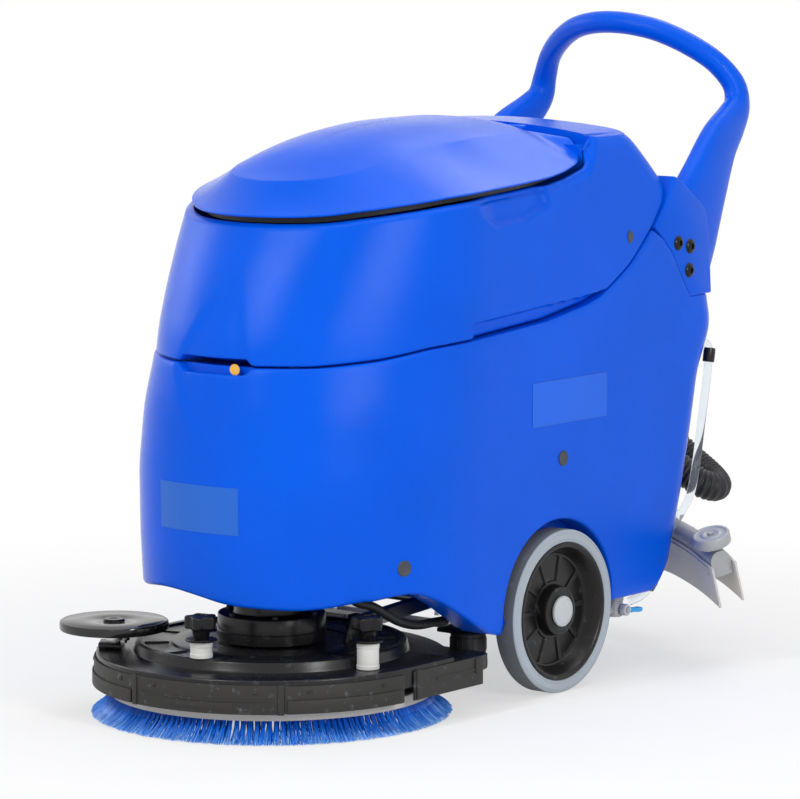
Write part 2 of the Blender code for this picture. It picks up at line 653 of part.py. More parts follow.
def handle_screw(name, side, place):
    """A domed screw whose shank stands in the handle's hole."""
    head = turned((side * (BODY_HALF_WIDTH + FIT_GAP), *place), [
        (0.0, 0.0052), (0.006, 0.0045), (0.0095, 0.0026), (SCREW_RADIUS, 0.0), (0.0038, 0.0), (0.0038, -0.014), (0.0, -0.014)
    ], "X", 16)
    if side < 0:
        head.data.transform(Matrix.Scale(-1, 4, (1, 0, 0)))
        head.data.transform(Matrix.Translation((-2 * (BODY_HALF_WIDTH + FIT_GAP), 0, 0)))
        head.data.flip_normals()
    return finish(head, name, "black_plastic")


# ======== Recovery tank and lid ========


def recovery_tank():
    tank = tank_blank(UPPER_SECTIONS)
    rim = [(y, z - RIM_DROP) for y, z in LID_EDGE[:-1]] + [(REAR_BLOCK_Y, height_on(LID_EDGE, REAR_BLOCK_Y) - RIM_DROP)]
    cut(tank, below(SEAM, FIT_GAP), above(rim))
    bowl = tank_blank(UPPER_SECTIONS, WALL)
    bowl_limits = [below(SEAM, WALL), side_plate([(BOWL_REAR_Y, 0.3), (0.9, 0.3), (0.9, 1.2), (BOWL_REAR_Y, 1.2)], -0.4, 0.4)]
    cut(bowl, *bowl_limits)
    motor_room = box((-0.085, REAR_BLOCK_Y + 0.018, 0.45), (0.085, 0.612, 0.800))
    cut(tank, bowl, motor_room)
    y, z = TANK_PIVOT
    for side in (-1, 1):
        x = sorted((side * TANK_LUG_X, side * (TANK_LUG_X + TANK_LUG_WIDTH)))
        lug = side_plate([(0.60, z - 0.030), (y - 0.004, z - 0.010), (y + 0.010, z - 0.004), (y + 0.008, z + 0.009),
                          (0.62, z + 0.016)], *x)
        join(tank, lug)
    cut(tank, cylinder((0, y, z), HINGE_PIN_RADIUS + RUN_GAP / 2, 0.40, "X", 14))
    for side in (-1, 1):
        x = side * LID_KNUCKLE_X
        half = LID_KNUCKLE_WIDTH / 2 + RUN_GAP
        cut(tank, box((x - half, REAR_BLOCK_Y - 0.01, LID_PIVOT[1] - 0.012), (x + half, LID_PIVOT[0] + 0.016, 0.9)))
    cut(tank, cylinder((0, *LID_PIVOT), HINGE_PIN_RADIUS + FIT_GAP, 0.26, "X", 14))
    return finish(tank, "recovery_tank", "blue_plastic", (0.0, *TANK_PIVOT))


def tank_hinge_pin():
    pin = cylinder((0, *TANK_PIVOT), HINGE_PIN_RADIUS, 2 * (TANK_EAR_X + 0.013), "X", 14)
    return finish(pin, "tank_hinge_pin", "steel")


def lid_hinge_pin():
    pin = cylinder((0, *LID_PIVOT), HINGE_PIN_RADIUS, 0.25, "X", 14)
    return finish(pin, "lid_hinge_pin", "steel", (0.0, *TANK_PIVOT))


def lid_outline(shrink):
    """One ring of the lid: its outline shrunk towards the crest line, each point with its own place on the edge."""
    points = []
    section = (0.0, LID_FRONT_Y, LID_REAR_Y, LID_HALF_WIDTH, LID_SQUARENESS)
    for x, y, _ in section_outline(section):
        taper = 1.0 - LID_REAR_TAPER * max(0.0, (y - LID_TAPER_Y) / (LID_REAR_Y - LID_TAPER_Y)) ** 2
        edge_x = x * taper
        centre_y = min(max(y, LID_SPINE_Y[0]), LID_SPINE_Y[1])
        px = edge_x * (1 - shrink)
        py = centre_y + (y - centre_y) * (1 - shrink)
        points.append((px, py, edge_x, y))
    return points


# The lid's crest height along its centre line, as (y, z)
CREST = [(-0.08, 0.758), (-0.02, 0.792), (0.04, 0.816), (0.12, 0.836), (0.22, 0.847), (0.32, 0.850), (0.42, 0.849),
         (0.60, 0.847)]


def lid_rings(inset):
    rings = []
    floor = []
    for x, y, _, edge_y in lid_outline(inset * LID_SHRINK_PER_M):
        floor.append(Vector((x, y, height_on(LID_EDGE, edge_y))))
    rings.append(floor)
    for shrink in LID_LEVELS:
        ring = []
        for x, y, _, edge_y in lid_outline(shrink + inset * LID_SHRINK_PER_M * (1 - shrink)):
            start = height_on(LID_EDGE, edge_y) + LID_LIP
            crest = height_on(CREST, y)
            share = 1.0 - (1.0 - shrink) ** LID_ROUNDNESS
            ring.append(Vector((x, y, start + (crest - start) * share - inset)))
        rings.append(ring)
    return rings


def lid():
    cover = loft(lid_rings(0.0))
    hollow = lid_rings(LID_THICKNESS)
    hollow[0] = [point - Vector((0, 0, 0.05)) for point in hollow[0]]
    cut(cover, loft(hollow))
    for side in (-1, 1):
        x = side * LID_KNUCKLE_X
        half = LID_KNUCKLE_WIDTH / 2
        knuckle = box((x - half, LID_REAR_Y - 0.004, LID_PIVOT[1] - 0.006), (x + half, LID_PIVOT[0] + 0.007, 0.8365), 0.001)
        join(cover, knuckle)
    cut(cover, cylinder((0, *LID_PIVOT), HINGE_PIN_RADIUS + RUN_GAP / 2, 0.26, "X", 14))
    for modifier in cover.modifiers:
        modifier.solver = "MANIFOLD"
    return finish(cover, "lid", "blue_plastic", (0.0, *LID_PIVOT))


def tank_gasket():
    """The rubber ring on the tank's rim that the lid's edge presses on."""
    ring = tank_blank(UPPER_SECTIONS, 0.001)
    inside = tank_blank(UPPER_SECTIONS, 0.010)
    rear = LID_REAR_Y - 0.005
    cut(inside, box((-0.4, rear - 0.010, 0.3), (0.4, 1.0, 1.0)))
    cut(ring, inside, box((-0.4, rear, 0.3), (0.4, 1.0, 1.0)), below(LID_EDGE, FIT_GAP - RIM_DROP), above(LID_EDGE, FIT_GAP))
    return finish(ring, "tank_gasket", "rubber", (0.0, *TANK_PIVOT))


def vacuum_motor():
    y = (REAR_BLOCK_Y + 0.018 + 0.612) / 2
    body = turned((0, y, 0), [(0.0, 0.7995), (0.030, 0.7995), (0.034, 0.785), (0.050, 0.780), (0.050, 0.735),
                              (0.036, 0.730), (0.036, 0.690), (0.0, 0.690)], "Z", 20)
    return finish(body, "vacuum_motor", "black_plastic", (0.0, *TANK_PIVOT))


FLOAT_PLACE = (0.0, 0.405)
FLOAT_RADIUS = 0.024
FLOAT_CAGE_Z = (0.620, 0.735)


def float_cage():
    x, y = FLOAT_PLACE
    low, high = FLOAT_CAGE_Z
    cage = cylinder((x, y, (low + high) / 2), FLOAT_RADIUS + 0.007, high - low, "Z", 20)
    cut(cage, cylinder((x, y, (low + high) / 2), FLOAT_RADIUS + 0.003, high - low - 0.010, "Z", 20))
    for turn in (0, 90):
        window = box((-0.05, -0.012, low + 0.012), (0.05, 0.012, high - 0.040))
        window.data.transform(Matrix.Translation((x, y, 0)) @ Matrix.Rotation(math.radians(turn), 4, "Z"))
        cut(cage, window)
    join(cage, box((x - 0.012, y + 0.028, high - 0.022), (x + 0.012, BOWL_REAR_Y - FIT_GAP, high - 0.002)))
    return finish(cage, "float_cage", "black_plastic", (0.0, *TANK_PIVOT))


def float_ball():
    shape = bmesh.new()
    bmesh.ops.create_uvsphere(shape, u_segments=12, v_segments=8, radius=FLOAT_RADIUS)
    place = (*FLOAT_PLACE, FLOAT_CAGE_Z[0] + 0.005 + FLOAT_RADIUS + FIT_GAP)
    bmesh.ops.translate(shape, vec=place, verts=shape.verts)
    return finish(as_object("ball", shape), "float_ball", "white_plastic", place)


# ======== Wheels ========


def wheel(side, label):
    inner = WHEEL_OUTER_X - WHEEL_WIDTH
    middle = side * (inner + WHEEL_WIDTH / 2)
    half = WHEEL_WIDTH / 2
    rim = WHEEL_RADIUS - TYRE_DEPTH
    pivot = (middle, WHEEL_Y, WHEEL_RADIUS)
    tyre_profile = [(rim, half - 0.001), (WHEEL_RADIUS - 0.004, half), (WHEEL_RADIUS, half - 0.004),
                    (WHEEL_RADIUS, -half + 0.004), (WHEEL_RADIUS - 0.004, -half), (rim, -half + 0.001)]
    tyre = turned(pivot, tyre_profile, "X", 30, ring=True)
    finish(tyre, "tyre_" + label, "tyre_grey", pivot)
    seat = rim - FIT_GAP
    out = side
    dish = [(seat, half - 0.001), (seat, -half + 0.002), (0.020, -half + 0.002), (AXLE_RADIUS + RUN_GAP / 2, -half + 0.002),
            (AXLE_RADIUS + RUN_GAP / 2, half - 0.0055), (0.033, half - 0.0055), (0.036, half - 0.022), (0.084, half - 0.024),
            (0.094, half - 0.003)]
    hub = turned(pivot, [(r, out * h) for r, h in dish], "X", 30, ring=True)
    finish(hub, "wheel_hub_" + label, "black_plastic", pivot)
    face = WHEEL_OUTER_X - 0.0055 + FIT_GAP
    cap = cylinder((side * (face + 0.0045), WHEEL_Y, WHEEL_RADIUS), HUB_CAP_RADIUS, 0.009, "X", 20)
    finish(cap, "wheel_cap_" + label, "tyre_grey", pivot)


# ======== Deck ========


def deck_outline(radius, shoulder_y, steps=22):
    """A circle whose front half carries on as straight sides back to two shoulders."""
    front = [(radius * math.cos(a), -radius * math.sin(a)) for a in (math.pi * i / steps for i in range(steps + 1))]
    start = math.asin(shoulder_y / radius)
    sweep = (math.pi - 2 * start) / (steps // 2)
    rear = [(-radius * math.cos(a), radius * math.sin(a)) for a in (start + sweep * i for i in range(steps // 2 + 1))]
    cut_back = 0.018
    left = [(radius, shoulder_y - cut_back), (radius - cut_back, shoulder_y)]
    return front + [(-x, y) for x, y in left] + rear + left[::-1]


def deck_pivot():
    return (0.0, *LINK_PIVOT_DECK)


def deck_housing():
    low, high = DECK_Z
    deck = flat_plate(deck_outline(DECK_RADIUS, DECK_SHOULDER_Y), low, high)
    rear_lowering = box((-0.4, 0.105, DECK_REAR_TOP_Z), (0.4, 0.4, 0.4))
    cut(deck, rear_lowering)
    disc = cylinder((0, 0, (high + DECK_DISC_TOP_Z) / 2 - 0.002), DECK_DISC_RADIUS + 0.006, DECK_DISC_TOP_Z - high + 0.004, "Z", 30,
                    top_radius=DECK_DISC_RADIUS)
    join(deck, disc)
    hollow = flat_plate(deck_outline(DECK_RADIUS - DECK_WALL, DECK_SHOULDER_Y - DECK_WALL), low - 0.02, DECK_REAR_TOP_Z - DECK_WALL)
    cut(deck, hollow, cylinder((0, 0, 0.09), MOTOR_SHAFT_RADIUS + 0.003, 0.1, "Z", 20))
    for side in (-1, 1):
        y, z = LINK_PIVOT_DECK
        x = sorted((side * (LINK_X - LINK_HALF_WIDTH - RUN_GAP), side * (LINK_X - LINK_HALF_WIDTH - RUN_GAP - 0.008)))
        ear = side_plate([(y - 0.025, high), (y + 0.025, high), (y + 0.010, z + 0.011), (y - 0.010, z + 0.011)], *x)
        join(deck, ear, cylinder((side * LINK_X, y, z), PIVOT_RADIUS, 2 * LINK_HALF_WIDTH + 0.010, "X", 14))
    return finish(deck, "deck_housing", "black_plastic", deck_pivot())


def splash_skirt():
    outer = DECK_RADIUS + FIT_GAP + SKIRT_THICKNESS
    skirt = flat_plate(deck_outline(outer, DECK_SHOULDER_Y + FIT_GAP + SKIRT_THICKNESS), *SKIRT_Z)
    cut(skirt, flat_plate(deck_outline(DECK_RADIUS + FIT_GAP, DECK_SHOULDER_Y + FIT_GAP), SKIRT_Z[0] - 0.01, SKIRT_Z[1] + 0.01))
    return finish(skirt, "splash_skirt", "rubber", deck_pivot())


def brush_motor():
    low = DECK_DISC_TOP_Z + FIT_GAP
    motor = turned((0, 0, 0), [(0.0, MOTOR_TOP_Z), (0.050, MOTOR_TOP_Z), (0.055, 0.196), (0.055, 0.150), (MOTOR_RADIUS, 0.146),
                               (MOTOR_RADIUS, low), (MOTOR_SHAFT_RADIUS, low), (MOTOR_SHAFT_RADIUS, 0.066), (0.0, 0.066)], "Z", 22)
    return finish(motor, "brush_motor", "black_plastic", deck_pivot())


def deck_spacer(label):
    x, y = KNOB_PLACES[label]
    on_disc = math.hypot(x, y) < DECK_DISC_RADIUS
    base = (DECK_DISC_TOP_Z if on_disc else DECK_Z[1]) + FIT_GAP
    spacer = cylinder((x, y, (base + SPACER_TOP_Z) / 2), SPACER_RADIUS, SPACER_TOP_Z - base, "Z", 20)
    stud_top = KNOB_Z[0] + 0.012
    join(spacer, cylinder((x, y, (SPACER_TOP_Z + stud_top) / 2 - 0.002), 0.0055, stud_top - SPACER_TOP_Z + 0.004, "Z", 14))
    return finish(spacer, "deck_spacer_" + label, "white_plastic", deck_pivot())


def deck_knob(label):
    """A lobed hand knob over a flange, screwed on the spacer's stud."""
    x, y = KNOB_PLACES[label]
    low, high = KNOB_Z
    knob = cylinder((x, y, (low + high) / 2), KNOB_RADIUS - 0.004, high - low, "Z", 20)
    for i in range(5):
        angle = math.tau * i / 5
        lobe = (x + (KNOB_RADIUS - 0.0075) * math.cos(angle), y + (KNOB_RADIUS - 0.0075) * math.sin(angle), (low + high) / 2)
        join(knob, cylinder(lobe, 0.0085, high - low - 0.002, "Z", 8))
    flange_low = SPACER_TOP_Z + RUN_GAP
    join(knob, cylinder((x, y, (flange_low + 0.0015)), 0.0225, 0.003, "Z", 20))
    join(knob, cylinder((x, y, (flange_low + low) / 2 + 0.002), 0.0115, low - flange_low + 0.002, "Z", 16))
    cut(knob, cylinder((x, y, low - 0.004), 0.0055 + FIT_GAP, 0.036, "Z", 14))
    return finish(knob, "deck_knob_" + label, "black_plastic", (x, y, low))


def bumper_bracket():
    """A flat arm from the deck out to the bumper roller's pin."""
    x, y = ROLLER_CENTRE
    low = DECK_Z[1] + FIT_GAP
    out = Vector((x, y)).normalized()
    side = Vector((-out.y, out.x))
    near = Vector((x, y)) - out * 0.012
    far = Vector((x, y)) + out * 0.022
    outline = [near + side * 0.030, near - side * 0.030, far - side * 0.018, far + side * 0.018]
    arm = flat_plate([tuple(p) for p in outline], low, low + 0.008)
    top = ROLLER_Z[0] - RUN_GAP
    join(arm, cylinder((x, y, (low + top) / 2), 0.012, top - low, "Z", 16))
    pin_low, pin_high = top - 0.003, ROLLER_Z[1] - 0.0035
    join(arm, cylinder((x, y, (pin_low + pin_high) / 2), 0.005, pin_high - pin_low, "Z", 14))
    return finish(arm, "bumper_bracket", "steel", deck_pivot())


def bumper_roller():
    x, y = ROLLER_CENTRE
    low, high = ROLLER_Z
    roller = cylinder((x, y, (low + high) / 2), ROLLER_RADIUS, high - low, "Z", 32)
    cut(roller, cylinder((x, y, low), 0.0055, 2 * (high - low) - 0.003, "Z", 14))
    join(roller, cylinder((x, y, high + 0.0005), 0.0155, 0.003, "Z", 20))
    return finish(roller, "bumper_roller", "black_plastic", (x, y, low))


def deck_linkage():
    """Two side bars and the cross bar that keeps them parallel."""
    y0, z0 = LINK_PIVOT_CHASSIS
    y1, z1 = LINK_PIVOT_DECK
    along = Vector((y0 - y1, z0 - z1)).normalized()
    up = Vector((-along.y, along.x)) * LINK_HALF_HEIGHT
    low = Vector((y1, z1)) - along * LINK_HALF_HEIGHT
    high = Vector((y0, z0)) + along * LINK_HALF_HEIGHT
    outline = [tuple(low - up), tuple(high - up), tuple(high + up), tuple(low + up)]
    bars = [side_plate(outline, s * LINK_X - LINK_HALF_WIDTH, s * LINK_X + LINK_HALF_WIDTH) for s in (-1, 1)]
    middle = (low + high) / 2 + Vector((0.04, 0.0025))
    join(bars[0], bars[1], cylinder((0, middle.x, middle.y), 0.006, 2 * LINK_X, "X", 14))
    for y, z in (LINK_PIVOT_CHASSIS, LINK_PIVOT_DECK):
        cut(bars[0], cylinder((0, y, z), PIVOT_RADIUS + FIT_GAP, 0.5, "X", 14))
    return finish(bars[0], "deck_linkage", "steel", (0.0, *LINK_PIVOT_CHASSIS))


# ======== Brush ========


def drive_plate():
    low = BRUSH_BLOCK_Z[1] + FIT_GAP
    high = 0.0655
    plate_part = turned((0, 0, 0), [(0.0, high), (0.020, high), (0.022, 0.058), (0.085, 0.056), (0.085, low), (0.0, low)], "Z", 24)
    return finish(plate_part, "drive_plate", "black_plastic")


def brush_block():
    low, high = BRUSH_BLOCK_Z
    block = turned((0, 0, 0), [(0.0, high), (BRUSH_BLOCK_RADIUS - 0.010, high), (BRUSH_BLOCK_RADIUS, high - 0.006),
                               (BRUSH_BLOCK_RADIUS, low), (0.0, low)], "Z", 40)
    return finish(block, "brush_block", "white_plastic")


def brush_bristles():
    """The tufts as one ring that flares out to the tips."""
    top = BRUSH_BLOCK_Z[0] - FIT_GAP
    outer = BRUSH_BLOCK_RADIUS - 0.004
    ring = [(0.105, top), (outer, top), (outer + 0.006, top * 0.72), (BRUSH_TIP_RADIUS, 0.0), (0.092, 0.0)]
    tufts = turned((0, 0, 0), ring, "Z", 36, ring=True)
    return finish(tufts, "brush_bristles", "bristle_blue")


# ======== Water: filter, hose, drain and level tube ========

FILTER_PLACE = (0.178, 0.240)
FILTER_RADIUS = 0.027
FILTER_Z = (0.062, 0.1036)
FILTER_CAP_LOW = 0.049
SOLUTION_HOSE = [(0.156, -0.020, 0.2612), (0.157, -0.018, 0.215), (0.162, -0.010, 0.182), (0.168, 0.030, 0.166), (0.173, 0.078, 0.140), (0.176, 0.118, 0.1285),
                 (0.177, 0.160, 0.127), (0.178, 0.198, 0.126)]
SOLUTION_HOSE_RADIUS = 0.0068
LEVEL_TUBE = [(0.216, 0.756, 0.500), (0.232, 0.7790, 0.484), (0.235, 0.7765, 0.450), (0.235, 0.7640, 0.385),
              (0.235, 0.7440, 0.290), (0.235, 0.728, 0.250), (0.234, 0.700, 0.222), (0.2315, 0.674, 0.200),
              (0.229, 0.666, 0.172), (0.225, 0.654, 0.138), (0.216, 0.636, 0.110), (0.205, 0.613, 0.099)]
LEVEL_TUBE_RADIUS = 0.0065
DRAIN_PLACE = (0.200, 0.580)


def filter_body():
    x, y = FILTER_PLACE
    low, high = FILTER_Z
    body = cylinder((x, y, (low + high) / 2), FILTER_RADIUS, high - low, "Z", 24, 0.003)
    hose_end = Vector(SOLUTION_HOSE[-1])
    join(body, cylinder((x - 0.006, y, high + 0.010), 0.010, 0.028, "Z", 14))
    spigot_y = hose_end.y + 2 * FIT_GAP
    join(body, cylinder((hose_end.x, (spigot_y + y) / 2, hose_end.z), 0.0078, y - spigot_y, "Y", 14))
    join(body, box((x - 0.050, y - 0.012, high - 0.006), (x - 0.010, FRAME_Y[0] - FIT_GAP, high)))
    return finish(body, "filter_body", "black_plastic")


def filter_cap():
    """The ribbed cup that unscrews from below."""
    x, y = FILTER_PLACE
    high = FILTER_Z[0] - FIT_GAP
    low = FILTER_CAP_LOW
    cap = cylinder((x, y, (low + high) / 2), FILTER_RADIUS + 0.002, high - low, "Z", 20)
    return finish(cap, "filter_cap", "black_plastic", (x, y, low))


def solution_hose():
    return finish(tube(smooth_path(SOLUTION_HOSE, 2), SOLUTION_HOSE_RADIUS, 2), "solution_hose", "rubber")


def drain_valve():
    x, y = DRAIN_PLACE
    top = 0.119 - FIT_GAP
    body = cylinder((x, y, (top + 0.080) / 2), 0.013, top - 0.080, "Z", 20)
    join(body, cylinder((x, y - 0.014, 0.092), 0.009, 0.030, "Y", 16))
    join(body, cylinder((x + 0.016, y, 0.092), 0.0045, 0.022, "X", 14))
    return finish(body, "drain_valve", "grey_casting")


def drain_lever():
    x, y = DRAIN_PLACE
    hub_x = x + 0.0205
    lever = cylinder((hub_x, y, 0.092), 0.009, 0.010, "X", 18)
    join(lever, box((hub_x - 0.004, y - 0.004, 0.086), (hub_x + 0.004, y + 0.042, 0.093), 0.001))
    cut(lever, cylinder((hub_x, y, 0.092), 0.0045 + FIT_GAP, 0.030, "X", 14))
    return finish(lever, "drain_lever", "lever_blue", (hub_x, y, 0.092))


def level_tube():
    pipe = tube(smooth_path(LEVEL_TUBE, 1), LEVEL_TUBE_RADIUS, 2)
    return finish(pipe, "level_tube", "clear_plastic")


# ======== Squeegee ========


def squeegee_y(x):
    return SQUEEGEE_CENTRE_Y - SQUEEGEE_SWEEP * (x / SQUEEGEE_HALF_WIDTH) ** 2


def squeegee_taper(x):
    """The squeegee's depth at x, as a share of its depth at the centre."""
    return 1.0 - (1.0 - SQUEEGEE_END_SHARE) * min(1.0, abs(x) / SQUEEGEE_TAPER_X)


def curved_bar(half_width, z_low, z_high, near, far):
    """A bar along the squeegee's curve. Near and far are each a tapering and a fixed distance from the curve."""
    inner = [k * SQUEEGEE_STATION for k in range(-8, 9) if abs(k * SQUEEGEE_STATION) < half_width - 0.001]
    rings = []
    for x in (-half_width, *inner, half_width):
        slope = -2 * SQUEEGEE_SWEEP * x / SQUEEGEE_HALF_WIDTH**2
        normal = Vector((-slope, 1.0)).normalized()
        centre = Vector((x, squeegee_y(x)))
        share = squeegee_taper(x)
        front = centre + normal * (near[0] * share + near[1])
        back = centre + normal * (far[0] * share + far[1])
        rings.append([(*front, z_low), (*back, z_low), (*back, z_high), (*front, z_high)])
    return loft(rings)


SWIVEL = (0.0, SQUEEGEE_CENTRE_Y)


def swivel_point():
    return (*SWIVEL, SQUEEGEE_BODY_Z[1])


def squeegee_body():
    low, high = SQUEEGEE_BODY_Z
    half_depth = SQUEEGEE_BODY_HALF_DEPTH
    body = curved_bar(SQUEEGEE_HALF_WIDTH - 0.010, low, high, (-half_depth, 0.0), (half_depth, 0.0))
    for side in (-1, 1):
        x = side * GUIDE_ROLLER_X
        y = squeegee_y(x)
        join(body, cylinder((x, y, high), 0.010, 0.008, "Z", 16))
        join(body, cylinder((x, y, high + 0.010), 0.005, 0.022, "Z", 14))
    cut(body, cylinder((*SWIVEL, (low + high) / 2), NOZZLE_RADIUS + RUN_GAP, 0.2, "Z", 28))
    return finish(body, "squeegee_body", "grey_casting", swivel_point(), SQUEEGEE_CARRIER)


def squeegee_bracket():
    """The casting on top of the body that turns on the arm's nozzle and carries the two hand knobs."""
    low = SQUEEGEE_BODY_Z[1] + FIT_GAP
    bracket = curved_bar(0.201, low, low + 0.014, (-0.022, 0.0), (0.022, 0.0))
    ring = cylinder((*SWIVEL, low + 0.008), NOZZLE_RADIUS + 0.012, 0.016, "Z", 28)
    join(bracket, ring)
    for side in (-1, 1):
        x = side * 0.150
        join(bracket, cylinder((x, squeegee_y(x), low + 0.018), 0.005, 0.036, "Z", 14))
    cut(bracket, cylinder((*SWIVEL, low), NOZZLE_RADIUS + RUN_GAP, 0.2, "Z", 28))
    return finish(bracket, "squeegee_bracket", "grey_casting", swivel_point(), SQUEEGEE_CARRIER)


def squeegee_blade(name, side):
    seat = (side * SQUEEGEE_BODY_HALF_DEPTH, side * BLADE_GAP)
    outside = (seat[0], seat[1] + side * BLADE_THICKNESS)
    blade = curved_bar(SQUEEGEE_HALF_WIDTH, FIT_GAP, BLADE_TOP_Z, *sorted((seat, outside)))
    return finish(blade, name, "blade_rubber", swivel_point(), SQUEEGEE_CARRIER)


def squeegee_knob(label, side):
    x = side * 0.150
    base = SQUEEGEE_BODY_Z[1] + FIT_GAP + 0.014 + RUN_GAP
    knob = cylinder((x, squeegee_y(x), base + 0.011), 0.019, 0.022, "Z", 10, 0.003)
    cut(knob, cylinder((x, squeegee_y(x), base), 0.0055, 0.060, "Z", 14))
    return finish(knob, "squeegee_knob_" + label, "black_plastic", (x, squeegee_y(x), base), SQUEEGEE_CARRIER)


def guide_roller(label, side):
    x = side * GUIDE_ROLLER_X
    low, high = GUIDE_ROLLER_Z
    roller = cylinder((x, squeegee_y(x), (low + high) / 2), GUIDE_ROLLER_RADIUS, high - low, "Z", 24)
    cut(roller, cylinder((x, squeegee_y(x), low), 0.0055, 0.060, "Z", 14))
    return finish(roller, "guide_roller_" + label, "grey_casting", (x, squeegee_y(x), low), SQUEEGEE_CARRIER)


NOZZLE_TOP_Z = 0.136
SPOUT_START_Z = 0.124
SPOUT_AXIS = Vector((0.50, 0.70, 0.51)).normalized()
SPOUT_LENGTH = 0.046


def squeegee_arm():
    """The arm from the frame's pin to the suction nozzle that the squeegee turns on."""
    y0, z0 = SQUEEGEE_PIVOT
    y1 = SQUEEGEE_CENTRE_Y
    low = SQUEEGEE_BODY_Z[1] + 2 * FIT_GAP + 0.0165
    outline = [(y0 - 0.012, z0 - 0.012), (y0 + 0.014, z0 - 0.012), (0.56, low), (y1 - 0.004, low), (y1 - 0.004, low + 0.014),
               (0.57, low + 0.014), (y0 + 0.014, z0 + 0.012), (y0 - 0.012, z0 + 0.012)]
    arm = side_plate(outline, -ARM_HALF_WIDTH, ARM_HALF_WIDTH)
    join(arm, cylinder((*SWIVEL, low + 0.007), NOZZLE_RADIUS + 0.010, 0.014, "Z", 28))
    bottom = SQUEEGEE_BODY_Z[0] + 0.004
    join(arm, cylinder((*SWIVEL, (bottom + NOZZLE_TOP_Z) / 2), NOZZLE_RADIUS, NOZZLE_TOP_Z - bottom, "Z", 28))
    spout = Vector((*SWIVEL, SPOUT_START_Z))
    join(arm, tube([spout, spout + SPOUT_AXIS * SPOUT_LENGTH], NOZZLE_RADIUS, 4))
    bore = NOZZLE_RADIUS - 0.003
    cut(arm, cylinder((*SWIVEL, SPOUT_START_Z - 0.045), bore, 0.1, "Z", 20))
    cut(arm, tube([spout, spout + SPOUT_AXIS * 2 * SPOUT_LENGTH], bore, 4))
    cut(arm, cylinder((0, y0, z0), PIVOT_RADIUS + FIT_GAP, 0.2, "X", 14))
    return finish(arm, "squeegee_arm", "grey_casting", (0.0, *SQUEEGEE_PIVOT), SQUEEGEE_CARRIER)


def raised(x, y, z):
    """A machine point of the raised squeegee, from its place with the blades down."""
    turn = Matrix.Rotation(math.radians(SQUEEGEE_LIFT_DEG), 4, "X")
    pivot = Vector((0.0, *SQUEEGEE_PIVOT))
    return pivot + turn @ (Vector((x, y, z)) - pivot)


def vacuum_hose():
    """The ribbed hose from the squeegee's spout round and up to the tank's back wall."""
    spout = Vector((*SWIVEL, SPOUT_START_Z))
    start = raised(*(spout + SPOUT_AXIS * (SPOUT_LENGTH + 2 * FIT_GAP)))
    route = [raised(*(spout + SPOUT_AXIS * (SPOUT_LENGTH + 0.024))), *VACUUM_HOSE_TOP]
    return finish(tube([start, *smooth_path(route, 2)], HOSE_RADIUS, 2), "vacuum_hose", "rubber")


# ======== Foot pedal and lift lever ========


def deck_pedal():
    """A foot pedal beside the right rear corner that lifts the deck."""
    y, z = PEDAL_PIVOT
    pedal = cylinder((PEDAL_X, y, z), 0.011, 0.020, "X", 16)
    join(pedal, box((PEDAL_X - 0.007, y, z - 0.004), (PEDAL_X + 0.007, y + 0.060, z + 0.004)))
    join(pedal, box((PEDAL_X - 0.088, y + 0.040, z - 0.006), (PEDAL_X + 0.014, y + 0.080, z + 0.006), 0.0015))
    cut(pedal, cylinder((PEDAL_X, y, z), PIVOT_RADIUS + FIT_GAP, 0.2, "X", 14))
    return finish(pedal, "deck_pedal", "black_plastic", (PEDAL_X, y, z))


def lift_lever():
    y, z = LIFT_PIVOT
    lever = cylinder((LIFT_X, y, z), 0.014, 0.016, "X", 18)
    shank = side_plate(
        [(y - 0.007, z), (y + 0.008, z), (y + 0.040, z + 0.135), (y + 0.030, z + 0.138)], LIFT_X - 0.005, LIFT_X + 0.005
    )
    join(lever, shank, cylinder((LIFT_X, y + 0.037, z + 0.150), 0.012, 0.044, "Z", 16, 0.003))
    cut(lever, cylinder((LIFT_X, y, z), PIVOT_RADIUS + FIT_GAP, 0.1, "X", 14))
    return finish(lever, "lift_lever", "black_plastic", (LIFT_X, y, z))


def build():
    solution_tank()
    chassis_frame()
    battery("battery_front", BAY_Y[0] + 0.010)
    battery("battery_rear", BAY_Y[0] + 0.010 + BATTERY_SIZE[1] + 0.004)
    handle()
    control_panel()
    key_switch()
    for name in BUTTON_PLACES:
        button(name)
    for side, label in ((1, "left"), (-1, "right")):
        for number, place in enumerate(SCREW_PLACES, 1):
            handle_screw(f"handle_screw_{label}_{number}", side, place)
        wheel(side, label)
        deck_spacer(label)
        deck_knob(label)
        squeegee_knob(label, side)
        guide_roller(label, side)
    recovery_tank()
    tank_hinge_pin()
    lid()
    lid_hinge_pin()
    tank_gasket()
    vacuum_motor()
    float_cage()
    float_ball()
    deck_housing()
    splash_skirt()
    brush_motor()
    bumper_bracket()
    bumper_roller()
    deck_linkage()
    drive_plate()
    brush_block()
    brush_bristles()
    filter_body()
    filter_cap()
    solution_hose()
    drain_valve()
    drain_lever()
    level_tube()
    squeegee_arm()
    squeegee_bracket()
    squeegee_body()
    squeegee_blade("squeegee_blade_front", -1)
    squeegee_blade("squeegee_blade_rear", 1)
    vacuum_hose()
    deck_pedal()
    lift_lever()


build()
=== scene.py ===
"""The walk-behind scrubber dryer as it looks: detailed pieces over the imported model.

Sizes and places are written from the brush's axis, as in the part's source, and place() moves each finished
mesh back by SHIFT_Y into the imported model's frame.
"""

import math
import random
import bmesh
import bpy
from mathutils import Matrix, Vector


